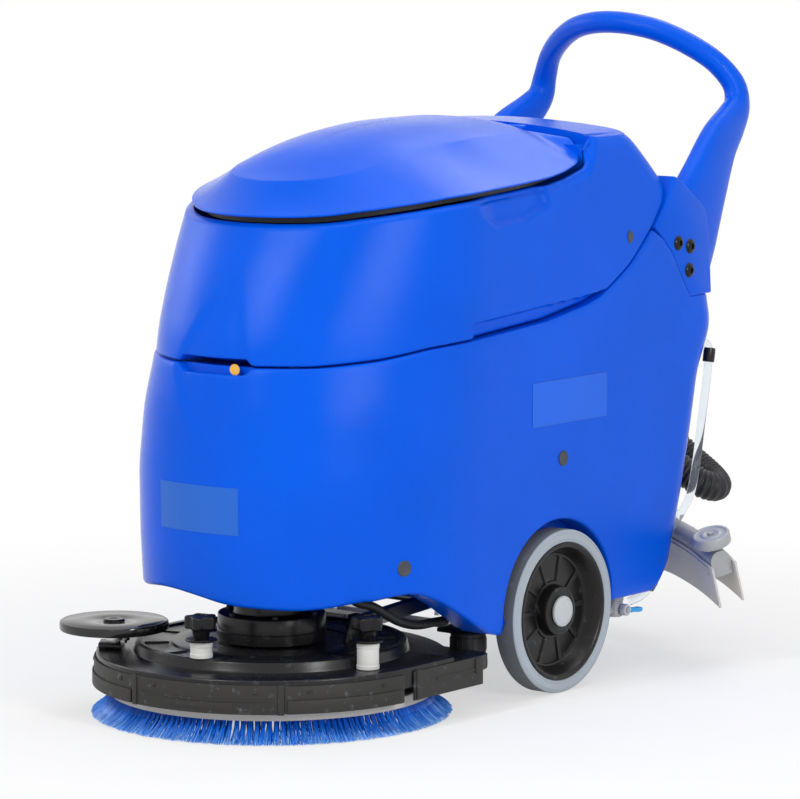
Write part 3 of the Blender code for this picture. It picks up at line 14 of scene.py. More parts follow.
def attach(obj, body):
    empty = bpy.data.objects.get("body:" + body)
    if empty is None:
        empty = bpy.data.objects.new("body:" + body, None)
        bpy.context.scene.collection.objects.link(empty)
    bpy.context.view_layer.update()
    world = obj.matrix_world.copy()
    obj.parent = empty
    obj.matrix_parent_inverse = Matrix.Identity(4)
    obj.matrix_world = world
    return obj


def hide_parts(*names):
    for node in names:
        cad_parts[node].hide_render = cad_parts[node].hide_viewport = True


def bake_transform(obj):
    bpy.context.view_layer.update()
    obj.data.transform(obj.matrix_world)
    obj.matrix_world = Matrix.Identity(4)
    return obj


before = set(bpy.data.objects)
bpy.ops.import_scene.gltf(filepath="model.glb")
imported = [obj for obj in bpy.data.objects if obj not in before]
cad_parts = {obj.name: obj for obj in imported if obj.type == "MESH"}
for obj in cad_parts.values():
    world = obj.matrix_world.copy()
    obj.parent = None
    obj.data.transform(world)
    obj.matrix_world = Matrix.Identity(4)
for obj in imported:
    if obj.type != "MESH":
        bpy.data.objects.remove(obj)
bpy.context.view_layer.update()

SHIFT_Y = -0.34055
SQUEEGEE_PIVOT = (0.377, 0.16)
SQUEEGEE_LIFT = math.radians(20)
SQUEEGEE_RAISE = (Matrix.Translation((0, *SQUEEGEE_PIVOT)) @ Matrix.Rotation(SQUEEGEE_LIFT, 4, "X")
                  @ Matrix.Translation(-Vector((0, *SQUEEGEE_PIVOT))))
RNG = random.Random(7)

# ======== Materials ========


def group(name, inputs, outputs):
    """An empty shader node group with float or colour sockets, and its input and output nodes."""
    made = bpy.data.node_groups.new(name, "ShaderNodeTree")
    for label, kind, value in inputs:
        socket = made.interface.new_socket(name=label, in_out="INPUT", socket_type=kind)
        socket.default_value = value
    for label, kind in outputs:
        made.interface.new_socket(name=label, in_out="OUTPUT", socket_type=kind)
    return made, made.nodes.new("NodeGroupInput"), made.nodes.new("NodeGroupOutput")


def node(tree, kind, settings=None, **inputs):
    """A node with its settings, and its inputs set or linked.

    An underscore in an input's name stands for a space, and i0, i1 and so on are inputs by number.
    """
    made = tree.nodes.new(kind)
    for key, value in (settings or {}).items():
        setattr(made, key, value)
    for key, value in inputs.items():
        by_number = key[0] == "i" and key[1:].isdigit()
        socket = made.inputs[int(key[1:]) if by_number else key.replace("_", " ")]
        if isinstance(value, bpy.types.NodeSocket):
            tree.links.new(value, socket)
        else:
            socket.default_value = value
    return made


def moulded_grain():
    """Fine grain of moulded plastic: bump height, and slow colour and roughness changes."""
    made, given, put = group(
        "moulded_grain",
        [("Grain Scale", "NodeSocketFloat", 900.0), ("Cloud Scale", "NodeSocketFloat", 5.0),
         ("Scuff", "NodeSocketFloat", 0.3), ("Colour", "NodeSocketColor", (0.5, 0.5, 0.5, 1)),
         ("Roughness", "NodeSocketFloat", 0.4)],
        [("Colour", "NodeSocketColor"), ("Roughness", "NodeSocketFloat"), ("Height", "NodeSocketFloat")],
    )
    place_in = node(made, "ShaderNodeTexCoord").outputs["Object"]
    grain = node(made, "ShaderNodeTexNoise", Vector=place_in, Scale=given.outputs["Grain Scale"], Detail=2.0,
                 Roughness=0.6)
    cloud = node(made, "ShaderNodeTexNoise", Vector=place_in, Scale=given.outputs["Cloud Scale"], Detail=3.0)
    fine = node(made, "ShaderNodeTexNoise", Vector=place_in, Scale=70.0, Detail=4.0, Roughness=0.65)
    scuffs = node(made, "ShaderNodeMapRange", Value=fine.outputs["Fac"], From_Min=0.6, From_Max=0.78)
    scuffed = node(made, "ShaderNodeMath", {"operation": "MULTIPLY"}, i0=scuffs.outputs["Result"],
                   i1=given.outputs["Scuff"])
    shade = node(made, "ShaderNodeMapRange", Value=cloud.outputs["Fac"], From_Min=0.25, From_Max=0.75,
                 To_Min=0.93, To_Max=1.07)
    tinted = node(made, "ShaderNodeVectorMath", {"operation": "SCALE"}, i0=given.outputs["Colour"],
                  Scale=shade.outputs["Result"])
    lighter = node(made, "ShaderNodeMix", {"data_type": "RGBA"}, Factor=scuffed.outputs[0],
                   i6=tinted.outputs[0], i7=(0.5, 0.55, 0.62, 1))
    rough_low = node(made, "ShaderNodeMath", {"operation": "MULTIPLY_ADD"}, i0=grain.outputs["Fac"], i1=0.1,
                     i2=given.outputs["Roughness"])
    rough = node(made, "ShaderNodeMath", {"operation": "MULTIPLY_ADD"}, i0=scuffed.outputs[0], i1=0.35,
                 i2=rough_low.outputs[0])
    made.links.new(lighter.outputs[2], put.inputs["Colour"])
    made.links.new(rough.outputs[0], put.inputs["Roughness"])
    made.links.new(grain.outputs["Fac"], put.inputs["Height"])
    return made


MOULDED_GRAIN = moulded_grain()
PLASTIC_IOR = 1.5


def new_material(name):
    """A material, its node tree and its Principled shader."""
    made = bpy.data.materials.new(name)
    made.use_nodes = True
    return made, made.node_tree, made.node_tree.nodes["Principled BSDF"]


def plastic(name, colour, roughness, bump=0.05, grain=900.0, scuff=0.2, metallic=0.0, specular=0.5):
    """A finish from the grain group: moulded plastic, rubber, casting or plated steel."""
    made, tree, shader = new_material(name)
    effect = node(tree, "ShaderNodeGroup", {"node_tree": MOULDED_GRAIN}, Grain_Scale=grain, Scuff=scuff,
                  Colour=(*colour, 1), Roughness=roughness)
    ridges = node(tree, "ShaderNodeBump", Height=effect.outputs["Height"], Strength=bump, Distance=0.001)
    tree.links.new(effect.outputs["Colour"], shader.inputs["Base Color"])
    tree.links.new(effect.outputs["Roughness"], shader.inputs["Roughness"])
    tree.links.new(ridges.outputs["Normal"], shader.inputs["Normal"])
    shader.inputs["Metallic"].default_value = metallic
    shader.inputs["IOR"].default_value = PLASTIC_IOR
    shader.inputs["Specular IOR Level"].default_value = specular
    return made


TANK_BLUE = plastic("tank_blue", (0.0002, 0.1, 0.75), 0.11, bump=0.34, grain=760.0, scuff=0.01, specular=0.1)
DECK_BLACK = plastic("deck_black", (0.009, 0.009, 0.01), 0.22, bump=0.06, grain=1100.0, scuff=0.1,
                     specular=0.32)
SATIN_BLACK = plastic("satin_black", (0.006, 0.006, 0.007), 0.2, bump=0.03, grain=1300.0, scuff=0.05,
                      specular=0.25)
SKIRT_BLACK = plastic("skirt_black", (0.026, 0.025, 0.023), 0.52, bump=0.08, grain=800.0, scuff=0.22,
                      specular=0.32)
SOFT_BLACK = plastic("hose_black", (0.02, 0.02, 0.022), 0.42, bump=0.05, grain=900.0, scuff=0.15,
                     specular=0.32)
HUB_BLACK = plastic("hub_black", (0.006, 0.006, 0.006), 0.26, bump=0.05, grain=900.0, scuff=0.12,
                    specular=0.32)
TYRE_GREY = plastic("tyre_grey", (0.4, 0.45, 0.5), 0.55, bump=0.1, grain=700.0, scuff=0.06)
TREAD_GREY = plastic("tread_grey", (0.15, 0.16, 0.17), 0.7, bump=0.3, grain=350.0, scuff=0.25)
ROLLER_GLOSS = plastic("roller_gloss", (0.01, 0.01, 0.011), 0.08, bump=0.01, grain=1200.0, scuff=0.1)
CAP_GREY = plastic("cap_grey", (0.56, 0.59, 0.61), 0.4, bump=0.05, scuff=0.05)
CAST_GREY = plastic("cast_grey", (0.4, 0.41, 0.42), 0.4, bump=0.2, grain=420.0, scuff=0.12, metallic=0.25)
STEEL = plastic("plated_steel", (0.6, 0.6, 0.61), 0.24, bump=0.03, grain=1500.0, scuff=0.15, metallic=1.0)
BLADE_TAN = plastic("blade_tan", (0.62, 0.6, 0.56), 0.45, bump=0.06, scuff=0.15)
BLOCK_BEIGE = plastic("block_beige", (0.56, 0.54, 0.5), 0.5, bump=0.06, scuff=0.12)
SPACER_WHITE = plastic("spacer_white", (0.72, 0.72, 0.69), 0.35, bump=0.04, scuff=0.08)
LEVER_BLUE = plastic("lever_blue", (0.01, 0.38, 0.86), 0.3, bump=0.03, scuff=0.02)
PLUG_GREY = plastic("plug_grey", (0.04, 0.046, 0.06), 0.45, bump=0.1, scuff=0.05)
BATTERY_DARK = plastic("battery_dark", (0.05, 0.05, 0.055), 0.45, bump=0.1, scuff=0.15)
BUTTON_GREEN = plastic("button_green", (0.02, 0.4, 0.1), 0.3, bump=0.02, scuff=0.02)
BUTTON_BLUE = plastic("button_blue", (0.03, 0.2, 0.7), 0.3, bump=0.02, scuff=0.02)
LABEL_FRONT = plastic("label_front", (0.012, 0.13, 0.6), 0.25, bump=0.01, scuff=0.0, specular=0.3)
LABEL_SIDE = plastic("label_side", (0.001, 0.125, 0.8), 0.25, bump=0.01, scuff=0.0, specular=0.3)
STICKER_YELLOW = plastic("sticker_yellow", (0.85, 0.45, 0.06), 0.35, bump=0.01, scuff=0.0)
GAUGE_FACE = plastic("gauge_face", (0.3, 0.32, 0.33), 0.15, bump=0.01, scuff=0.0)


def clear_plastic():
    """Clear tube with a faint haze."""
    made, tree, shader = new_material("clear_tube")
    place_in = node(tree, "ShaderNodeTexCoord").outputs["Object"]
    haze = node(tree, "ShaderNodeTexNoise", Vector=place_in, Scale=60.0, Detail=3.0)
    rough = node(tree, "ShaderNodeMapRange", Value=haze.outputs["Fac"], To_Min=0.04, To_Max=0.2)
    colour = node(tree, "ShaderNodeMix", {"data_type": "RGBA"}, Factor=haze.outputs["Fac"],
                  i6=(0.9, 0.94, 0.96, 1), i7=(0.8, 0.86, 0.9, 1))
    tree.links.new(rough.outputs["Result"], shader.inputs["Roughness"])
    tree.links.new(colour.outputs[2], shader.inputs["Base Color"])
    shader.inputs["Transmission Weight"].default_value = 0.92
    shader.inputs["IOR"].default_value = 1.12
    return made


def bristle_nylon():
    """Blue nylon whose strands run from dark at the root, which is painted shade under the brush block, to pale
    at some tips.
    """
    made, tree, shader = new_material("bristle_nylon")
    strand_tone_and_root_shade = node(tree, "ShaderNodeAttribute", {"attribute_name": "strand_tone_and_root_shade"})
    ramp = node(tree, "ShaderNodeValToRGB", Fac=strand_tone_and_root_shade.outputs["Fac"])
    stops = ramp.color_ramp.elements
    stops[0].color = (0.0, 0.035, 0.42, 1)
    stops[1].color = (0.32, 0.62, 0.95, 1)
    middle = stops.new(0.45)
    middle.color = (0.006, 0.21, 0.86, 1)
    tree.links.new(ramp.outputs["Color"], shader.inputs["Base Color"])
    shader.inputs["Roughness"].default_value = 0.38
    return made


CLEAR_TUBE = clear_plastic()
BRISTLE_BLUE = bristle_nylon()

# ======== Making and placing pieces ========


def clear_selection():
    for chosen in list(bpy.context.selected_objects):
        chosen.select_set(False)


def only(piece):
    clear_selection()
    piece.select_set(True)
    bpy.context.view_layer.objects.active = piece


def place(piece, name, body, finish, replaced=(), raised=False, smooth=38):
    """The last step of each piece: its transform goes into its mesh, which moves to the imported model's frame.

    A raised piece is drawn as if the squeegee were down, and is turned up with its arm.
    """
    only(piece)
    bpy.ops.object.transform_apply(location=True, rotation=True, scale=True)
    if raised:
        piece.data.transform(SQUEEGEE_RAISE)
    piece.data.transform(Matrix.Translation((0, SHIFT_Y, 0)))
    if smooth:
        bpy.ops.object.shade_smooth_by_angle(angle=math.radians(smooth))
    piece.name = name
    piece.data.name = name
    paint(piece, finish)
    if body:
        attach(piece, body)
    if replaced:
        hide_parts(*replaced)
    return piece


def from_bmesh(shape, recalculate=True):
    """An object from mesh code, its doubles merged and its faces turned outwards."""
    bmesh.ops.remove_doubles(shape, verts=shape.verts, dist=2e-6)
    if recalculate:
        bmesh.ops.recalc_face_normals(shape, faces=shape.faces)
        if shape.calc_volume(signed=True) < 0:
            bmesh.ops.reverse_faces(shape, faces=shape.faces)
    mesh = bpy.data.meshes.new("piece")
    shape.to_mesh(mesh)
    shape.free()
    made = bpy.data.objects.new("piece", mesh)
    bpy.context.scene.collection.objects.link(made)
    return made


def ring_loft(rings, closed=False):
    """Rings of points joined in order, with flat caps, or closed into a loop."""
    shape = bmesh.new()
    rows = [[shape.verts.new(point) for point in ring] for ring in rings]
    pairs = list(zip(rows, rows[1:])) + ([(rows[-1], rows[0])] if closed else [])
    for lower, upper in pairs:
        for i in range(len(lower)):
            j = (i + 1) % len(lower)
            shape.faces.new((lower[i], lower[j], upper[j], upper[i]))
    if not closed:
        shape.faces.new(rows[0])
        shape.faces.new(rows[-1])
    return from_bmesh(shape)


def table_value(table, key):
    """A value read between the rows of a table of (key, value)."""
    if key <= table[0][0]:
        return table[0][1]
    for (k0, v0), (k1, v1) in zip(table, table[1:]):
        if key <= k1:
            return v0 + (v1 - v0) * (key - k0) / (k1 - k0)
    return table[-1][1]


def ramp(value, low, high):
    """0 below low and 1 above high, eased between."""
    t = min(1.0, max(0.0, (value - low) / (high - low)))
    return t * t * (3 - 2 * t)


def signed_power(value, power):
    return math.copysign(abs(value) ** power, value)


def curve_through(points, steps):
    """Points on a smooth curve through the given ones."""
    places = [Vector(p) for p in points]
    ends = [places[0] * 2 - places[1], *places, places[-1] * 2 - places[-2]]
    path = []
    for a, b, c, d in zip(ends, ends[1:], ends[2:], ends[3:]):
        for step in range(steps):
            t = step / steps
            bend = (2 * a - 5 * b + 4 * c - d) * t**2 + (3 * b - a - 3 * c + d) * t**3
            path.append(0.5 * (2 * b + (c - a) * t + bend))
    return path + [places[-1]]


# ======== Hand tools: circles, boxes and plates drawn out in edit mode ========

LEAST_RADIUS = 0.0004  # a turned shape's tip is this small flat, not a point


def turned(profile, centre=(0, 0, 0), axis="Z", sides=64, finish=None):
    """A round shape drawn from a circle, extruded and resized through a profile of (radius, height)."""
    clear_selection()
    last = max(profile[0][0], LEAST_RADIUS)
    bpy.ops.mesh.primitive_circle_add(vertices=sides, radius=last, fill_type="NGON",
                                      location=(0, 0, profile[0][1]))
    piece = bpy.context.object
    bpy.ops.object.mode_set(mode="EDIT")
    bpy.ops.mesh.select_all(action="SELECT")
    for (radius, height), (_, before) in zip(profile[1:], profile):
        bpy.ops.mesh.extrude_region_move(TRANSFORM_OT_translate={"value": (0, 0, height - before)})
        share = max(radius, LEAST_RADIUS) / last
        bpy.ops.transform.resize(value=(share, share, 1))
        last = max(radius, LEAST_RADIUS)
    bpy.ops.mesh.select_all(action="SELECT")
    bpy.ops.mesh.normals_make_consistent(inside=False)
    bpy.ops.object.mode_set(mode="OBJECT")
    bpy.ops.object.transform_apply(location=True, rotation=True, scale=True)
    if axis == "X":
        piece.data.transform(Matrix.Rotation(math.pi / 2, 4, "Y"))
    if axis == "Y":
        piece.data.transform(Matrix.Rotation(-math.pi / 2, 4, "X"))
    piece.data.transform(Matrix.Translation(Vector(centre)))
    return paint(piece, finish)


def paint(piece, finish):
    """Gives the whole piece one finish; None leaves the finishes it has."""
    if finish:
        piece.data.materials.clear()
        piece.data.materials.append(finish)
    return piece


def bevelled(piece, width, segments=3, angle=32):
    """The piece with its edges rounded where they are sharper than an angle in degrees."""
    only(piece)
    edges = piece.modifiers.new("edges", "BEVEL")
    edges.width = width
    edges.segments = segments
    edges.limit_method = "ANGLE"
    edges.angle_limit = math.radians(angle)
    bpy.ops.object.modifier_apply(modifier="edges")
    return piece


def block(low, high, bevel=0.002, finish=None, segments=3):
    """A box between two corners with rounded edges."""
    clear_selection()
    centre = [(a + b) / 2 for a, b in zip(low, high)]
    bpy.ops.mesh.primitive_cube_add(size=1, location=centre, scale=[b - a for a, b in zip(low, high)])
    piece = bpy.context.object
    bpy.ops.object.transform_apply(location=True, rotation=True, scale=True)
    if bevel:
        bevelled(piece, bevel, segments)
    return paint(piece, finish)


def plate(outline, low, high, bevel=0.0015, axis="Z", finish=None, segments=2):
    """A flat plate drawn out from low to high: its outline is in (x, y), or in (y, z) for axis X."""
    shape = bmesh.new()
    corners = [(low, *spot) if axis == "X" else (*spot, low) for spot in outline]
    shape.faces.new([shape.verts.new(corner) for corner in corners])
    piece = from_bmesh(shape, recalculate=False)
    only(piece)
    bpy.ops.object.mode_set(mode="EDIT")
    bpy.ops.mesh.select_all(action="SELECT")
    shift = (high - low, 0, 0) if axis == "X" else (0, 0, high - low)
    bpy.ops.mesh.extrude_region_move(TRANSFORM_OT_translate={"value": shift})
    bpy.ops.mesh.select_all(action="SELECT")
    bpy.ops.mesh.normals_make_consistent(inside=False)
    bpy.ops.object.mode_set(mode="OBJECT")
    if bevel:
        bevelled(piece, bevel, segments)
    return paint(piece, finish)


def cut_with(piece, *cutters):
    """The piece with each cutter's shape taken out of it; the cutters are used up."""
    for cutter in cutters:
        only(piece)
        made = piece.modifiers.new("cut", "BOOLEAN")
        made.operation = "DIFFERENCE"
        made.object = cutter
        made.solver = "EXACT"
        bpy.ops.object.modifier_apply(modifier="cut")
        bpy.data.objects.remove(cutter, do_unlink=True)
    return piece


def joined(*pieces):
    """All the pieces as one object."""
    clear_selection()
    for piece in pieces:
        piece.select_set(True)
    bpy.context.view_layer.objects.active = pieces[0]
    bpy.ops.object.join()
    return pieces[0]


def copy_of(piece, shift=(0, 0, 0), turn=0.0):
    """A copy with its own mesh, turned about Z and then moved."""
    made = piece.copy()
    made.data = piece.data.copy()
    bpy.context.scene.collection.objects.link(made)
    made.data.transform(Matrix.Rotation(turn, 4, "Z"))
    made.data.transform(Matrix.Translation(Vector(shift)))
    return made


def round_ribs(count, low, high, bevel, centre=(0, 0, 0), start=0.0):
    """One rib between two corners, copied round a vertical axis; start is a share of a step."""
    rib = block(low, high, bevel)
    ribs = [copy_of(rib, centre, math.tau * (i + start) / count) for i in range(count)]
    bpy.data.objects.remove(rib, do_unlink=True)
    return ribs


def aimed(piece, along, centre):
    """Turns a piece's Z axis to a direction and moves the piece to a place."""
    piece.data.transform(Vector(along).to_track_quat("Z", "X").to_matrix().to_4x4())
    piece.data.transform(Matrix.Translation(Vector(centre)))
    return piece


def sleeve(bore, radius, half, edge, chamfer):
    """The profile of a short tube with chamfered outer edges, from -half to half along its axis."""
    outside = [(radius - edge, -half), (radius, -half + chamfer), (radius, half - chamfer),
               (radius - edge, half)]
    return [(bore, -half), *outside, (bore, half), (bore, -half)]


def lobed_outline(x, y, radius, wave, lobes, count):
    """A circle with lobes, as on a hand knob."""
    outline = []
    for i in range(count):
        a = math.tau * i / count
        reach = radius + wave * math.cos(lobes * a)
        outline.append((x + reach * math.cos(a), y + reach * math.sin(a)))
    return outline


def mirrored(piece):
    """A copy on the other side of the machine."""
    made = copy_of(piece)
    made.data.transform(Matrix.Scale(-1, 4, (1, 0, 0)))
    made.data.flip_normals()
    return made


def path_frames(path, side):
    """Each point of a path with two directions square to it, carried along without twisting."""
    frames = []
    for i, centre in enumerate(path):
        forward = (path[min(i + 1, len(path) - 1)] - path[max(i - 1, 0)]).normalized()
        side = (side - forward * side.dot(forward)).normalized()
        frames.append((centre, side, forward.cross(side)))
    return frames


def hose(path, radii, sides):
    """A solid hose along a path, with one radius for each of its points."""
    rings = []
    for (centre, side, other), radius in zip(path_frames(path, Vector((0, 0, 1))), radii):
        turns = [math.tau * k / sides for k in range(sides)]
        rings.append([centre + side * radius * math.cos(a) + other * radius * math.sin(a) for a in turns])
    return ring_loft(rings)


# ======== Tanks: a fine skin whose rings follow the seams, rims and arches ========

LOWER_SECTIONS = [
    (0.095, -0.148, 0.672, 0.243, 2.3), (0.118, -0.153, 0.678, 0.249, 2.35), (0.18, -0.158, 0.69, 0.25, 2.4),
    (0.26, -0.165, 0.716, 0.25, 2.4), (0.36, -0.167, 0.741, 0.25, 2.4), (0.45, -0.159, 0.76, 0.25, 2.3),
    (0.52, -0.147, 0.795, 0.25, 2.1), (0.57, -0.135, 0.782, 0.25, 2.05), (0.64, -0.12, 0.77, 0.25, 2.05),
    (0.76, -0.08, 0.76, 0.25, 2.0),
]
UPPER_SECTIONS = [
    (0.5, -0.15, 0.69, 0.251, 2.05), (0.56, -0.139, 0.69, 0.25, 2.05), (0.62, -0.115, 0.69, 0.249, 2.05),
    (0.68, -0.087, 0.69, 0.246, 2.05), (0.728, -0.06, 0.688, 0.243, 2.05), (0.764, -0.045, 0.656, 0.24, 2.05),
    (0.8, -0.03, 0.62, 0.235, 2.05), (0.82, -0.02, 0.603, 0.229, 2.05), (0.832, -0.014, 0.59, 0.222, 2.05),
    (0.838, -0.01, 0.576, 0.214, 2.05),
]
SEAM = [
    (-0.3, 0.5205), (-0.08, 0.5215), (0.0, 0.529), (0.076, 0.5405), (0.182, 0.548), (0.34, 0.56),
    (0.443, 0.577), (0.478, 0.588), (0.519, 0.61), (0.55, 0.628), (0.58, 0.653), (0.61, 0.68), (0.638, 0.713),
    (0.662, 0.756), (0.7, 0.83),
]
BASE_LINE = [(0.58, 0.6885), (0.605, 0.677), (0.631, 0.664), (0.653, 0.643), (0.682, 0.602), (0.706, 0.568),
             (0.84, 0.568)]
LID_EDGE = [
    (-0.2, 0.727), (-0.0715, 0.729), (-0.045, 0.73), (-0.02, 0.7325), (0.007, 0.7375), (0.053, 0.744),
    (0.129, 0.7535), (0.2, 0.7592), (0.28, 0.7638), (0.36, 0.7697), (0.4, 0.7757), (0.43, 0.783),
    (0.4565, 0.79), (0.4715, 0.805), (0.479, 0.826),
]
# The underside's edge: across the front by x, and along the sides by y
FRONT_FOOT = [(-0.25, 0.19), (-0.215, 0.184), (-0.19, 0.181), (-0.15, 0.185), (-0.1, 0.193), (-0.058, 0.195),
              (0.0, 0.188), (0.043, 0.18), (0.098, 0.178), (0.151, 0.176), (0.193, 0.182), (0.215, 0.19)]
SIDE_FOOT = [(-0.03, 0.185), (0.0, 0.189), (0.036, 0.191), (0.06, 0.186), (0.084, 0.176), (0.108, 0.164),
             (0.132, 0.15), (0.18, 0.122), (0.205, 0.11), (0.231, 0.104), (0.42, 0.119), (0.84, 0.119)]
ARCH_CENTRE = (0.369, 0.123)
ARCH_RADIUS = 0.1372
FRONT_CURVE_END_Y = 0.2
CORNER = 0.05
PEAK_Y = 0.606  # where the seam meets the handle's base line
TUNNEL_X = 0.042
TUNNEL_TOP = 0.262
UNDERSIDE_Z = 0.119
BAY_FLOOR = 0.2852


def smoothed(table, key, reach=0.012):
    """A table's value averaged over a short reach, so that its corners are eased."""
    return sum(table_value(table, key + reach * k / 2) for k in (-2, -1, 0, 1, 2)) / 5


def section_at(sections, z):
    """(front y, rear y, half width, squareness) at a height, eased over the table's corners."""
    found = []
    for column in (1, 2, 3, 4):
        table = [(row[0], row[column]) for row in sections]
        found.append(smoothed(table, z, 0.016))
    return found


def stations(front_steps, side_ys, rear_shares):
    """Places round a tank, each a kind and its numbers.

    They are ("F", angle) on the front, ("S", side, y) on a side, ("T", side, share) on its tail,
    ("C", side, angle) on a rear corner and ("R", share) across the rear.
    """
    front = [("F", math.pi * i / front_steps) for i in range(front_steps + 1)]
    tail_shares = sorted([i / 12 for i in range(1, 12)] + [0.79])
    right = [("S", -1, y) for y in side_ys] + [("T", -1, t) for t in tail_shares]
    corner = [("C", -1, 90 - 90 * i / 8) for i in range(9)]
    rear = [("R", -t) for t in rear_shares[::-1]] + [("R", t) for t in rear_shares]
    mirrored = [(kind, 1, value) for kind, _, value in (right + corner)[::-1]]
    return front + right + corner + rear + mirrored


def front_curve(a, half, front, square):
    """A point of the squarish half ellipse round the front, from -X at an angle of half a turn to +X at 0."""
    deep = abs(math.sin(a)) ** (2 / square) * (FRONT_CURVE_END_Y - front)
    return signed_power(math.cos(a), 2 / square) * half, FRONT_CURVE_END_Y - deep


def plan_point(station, section):
    """The (x, y) of a station on a section's outline."""
    front, rear, half, square = section
    kind = station[0]
    peak = 0.5 + (PEAK_Y - 0.5) * min(1.0, max(0.08, (rear - CORNER - 0.512) / (PEAK_Y - 0.5)))
    if kind == "F":
        return front_curve(station[1], half, front, square)
    if kind == "S":
        y = station[2]
        return (station[1] * half, y if y < 0.5 else 0.5 + (y - 0.5) * (peak - 0.5) / (PEAK_Y - 0.5))
    if kind == "T":
        return (station[1] * half, peak + station[2] * (rear - CORNER - peak))
    if kind == "C":
        a = math.radians(90 - station[2])
        return (station[1] * (half - CORNER + CORNER * math.cos(a)), rear - CORNER + CORNER * math.sin(a))
    return (station[1] * (half - CORNER), rear)


def ring_at(sections, places, heights, inset, push):
    """A ring of points on the skin at each station's height, moved inwards by inset and push(x, y, z)."""
    plan = []
    for station, z in zip(places, heights):
        plan.append(plan_point(station, section_at(sections, z)))
    count = len(plan)
    ring = []
    for i, (x, y) in enumerate(plan):
        before, after = plan[i - 1], plan[(i + 1) % count]
        step = 1
        while math.hypot(after[0] - before[0], after[1] - before[1]) < 1e-6:
            step += 1
            before, after = plan[i - step], plan[(i + step) % count]
        along = Vector((after[0] - before[0], after[1] - before[1])).normalized()
        inward = Vector((along.y, -along.x))
        if inward.dot(Vector((x, y - 0.3))) > 0:
            inward = -inward
        depth = inset + push(x, y, heights[i])
        ring.append(Vector((x + inward.x * depth, y + inward.y * depth, heights[i])))
    return ring


def settle(sections, places, line):
    """Each station's height on a boundary given as line(x, y), found by repeated steps."""
    heights = []
    for station in places:
        z = 0.5
        for _ in range(14):
            x, y = plan_point(station, section_at(sections, z))
            z = 0.5 * z + 0.5 * line(x, y)
        heights.append(z)
    return heights


# The dish's two edges: x by height
DISH_RIGHT = [(0.4, 0.01), (0.42, -0.008), (0.504, -0.063), (0.522, -0.066), (0.62, -0.01), (0.665, 0.02)]
DISH_LEFT = [(0.4, 0.03), (0.42, 0.046), (0.504, 0.075), (0.522, 0.076), (0.584, 0.058), (0.665, 0.03)]


def front_dish(x, y, z):
    """The shallow dished facet that runs through both tanks' fronts, above and below the mouth."""
    if y > 0.05:
        return 0.0
    if z <= 0.522:
        fade = ramp(z, 0.398, 0.44)
    else:
        fade = 1 - ramp(z, 0.56, 0.665)
    low, high = table_value(DISH_RIGHT, z), table_value(DISH_LEFT, z)
    if high - low < 0.004:
        return 0.0
    edge = min(x - low, high - x)
    return 0.0042 * fade * ramp(edge, 0.0, 0.016)


MOUTH_X = (-0.056, 0.071)
MOUTH_Z = 0.51


def in_mouth(x):
    """1 across the latch's mouth and 0 beside it."""
    return ramp(x, MOUTH_X[0] - 0.004, MOUTH_X[0] + 0.006) * (1 - ramp(x, MOUTH_X[1] - 0.004,
        MOUTH_X[1] + 0.004))


def lower_top(x, y):
    """The lower tank's rim: the seam, and the handle's base line behind it."""
    seam = smoothed(SEAM, y, 0.006) if y < 0.59 else table_value(SEAM, y)
    return min(seam, table_value(BASE_LINE, max(y, 0.58)))


def lower_rim(x, y):
    """The rim with the latch's mouth cut into its front."""
    top = lower_top(x, y)
    return top - (top - MOUTH_Z) * in_mouth(x) if y < 0.05 else top


def lower_foot(x, y):
    """The underside's edge, over the wheels' arches and the hose's tunnel at the rear."""
    if y < -0.03:
        return smoothed(FRONT_FOOT, x, 0.02)
    away = y - ARCH_CENTRE[0]
    if abs(away) <= ARCH_RADIUS:
        return ARCH_CENTRE[1] + math.sqrt(max(0.0, ARCH_RADIUS**2 - away**2))
    if y > 0.6 and abs(x) < TUNNEL_X:
        return TUNNEL_TOP
    if y > 0.55 and abs(x) < 0.3:
        return UNDERSIDE_Z + 0.04 * ramp(y, 0.61, 0.665)
    return smoothed(SIDE_FOOT, y, 0.01) if y < 0.2 else table_value(SIDE_FOOT, y)


def tank_side_ys():
    """Where the lower tank's rings have points along a side, close together over the arch."""
    arch = [ARCH_CENTRE[0] - ARCH_RADIUS * math.cos(math.pi * i / 30) for i in range(31)]
    before = [0.2 + 0.0315 * i / 5 for i in range(1, 5)] + [0.2313]
    after = [0.5067, 0.516, 0.528, 0.54, 0.552, 0.564, 0.576, 0.588, 0.598, PEAK_Y]
    return before + arch + after


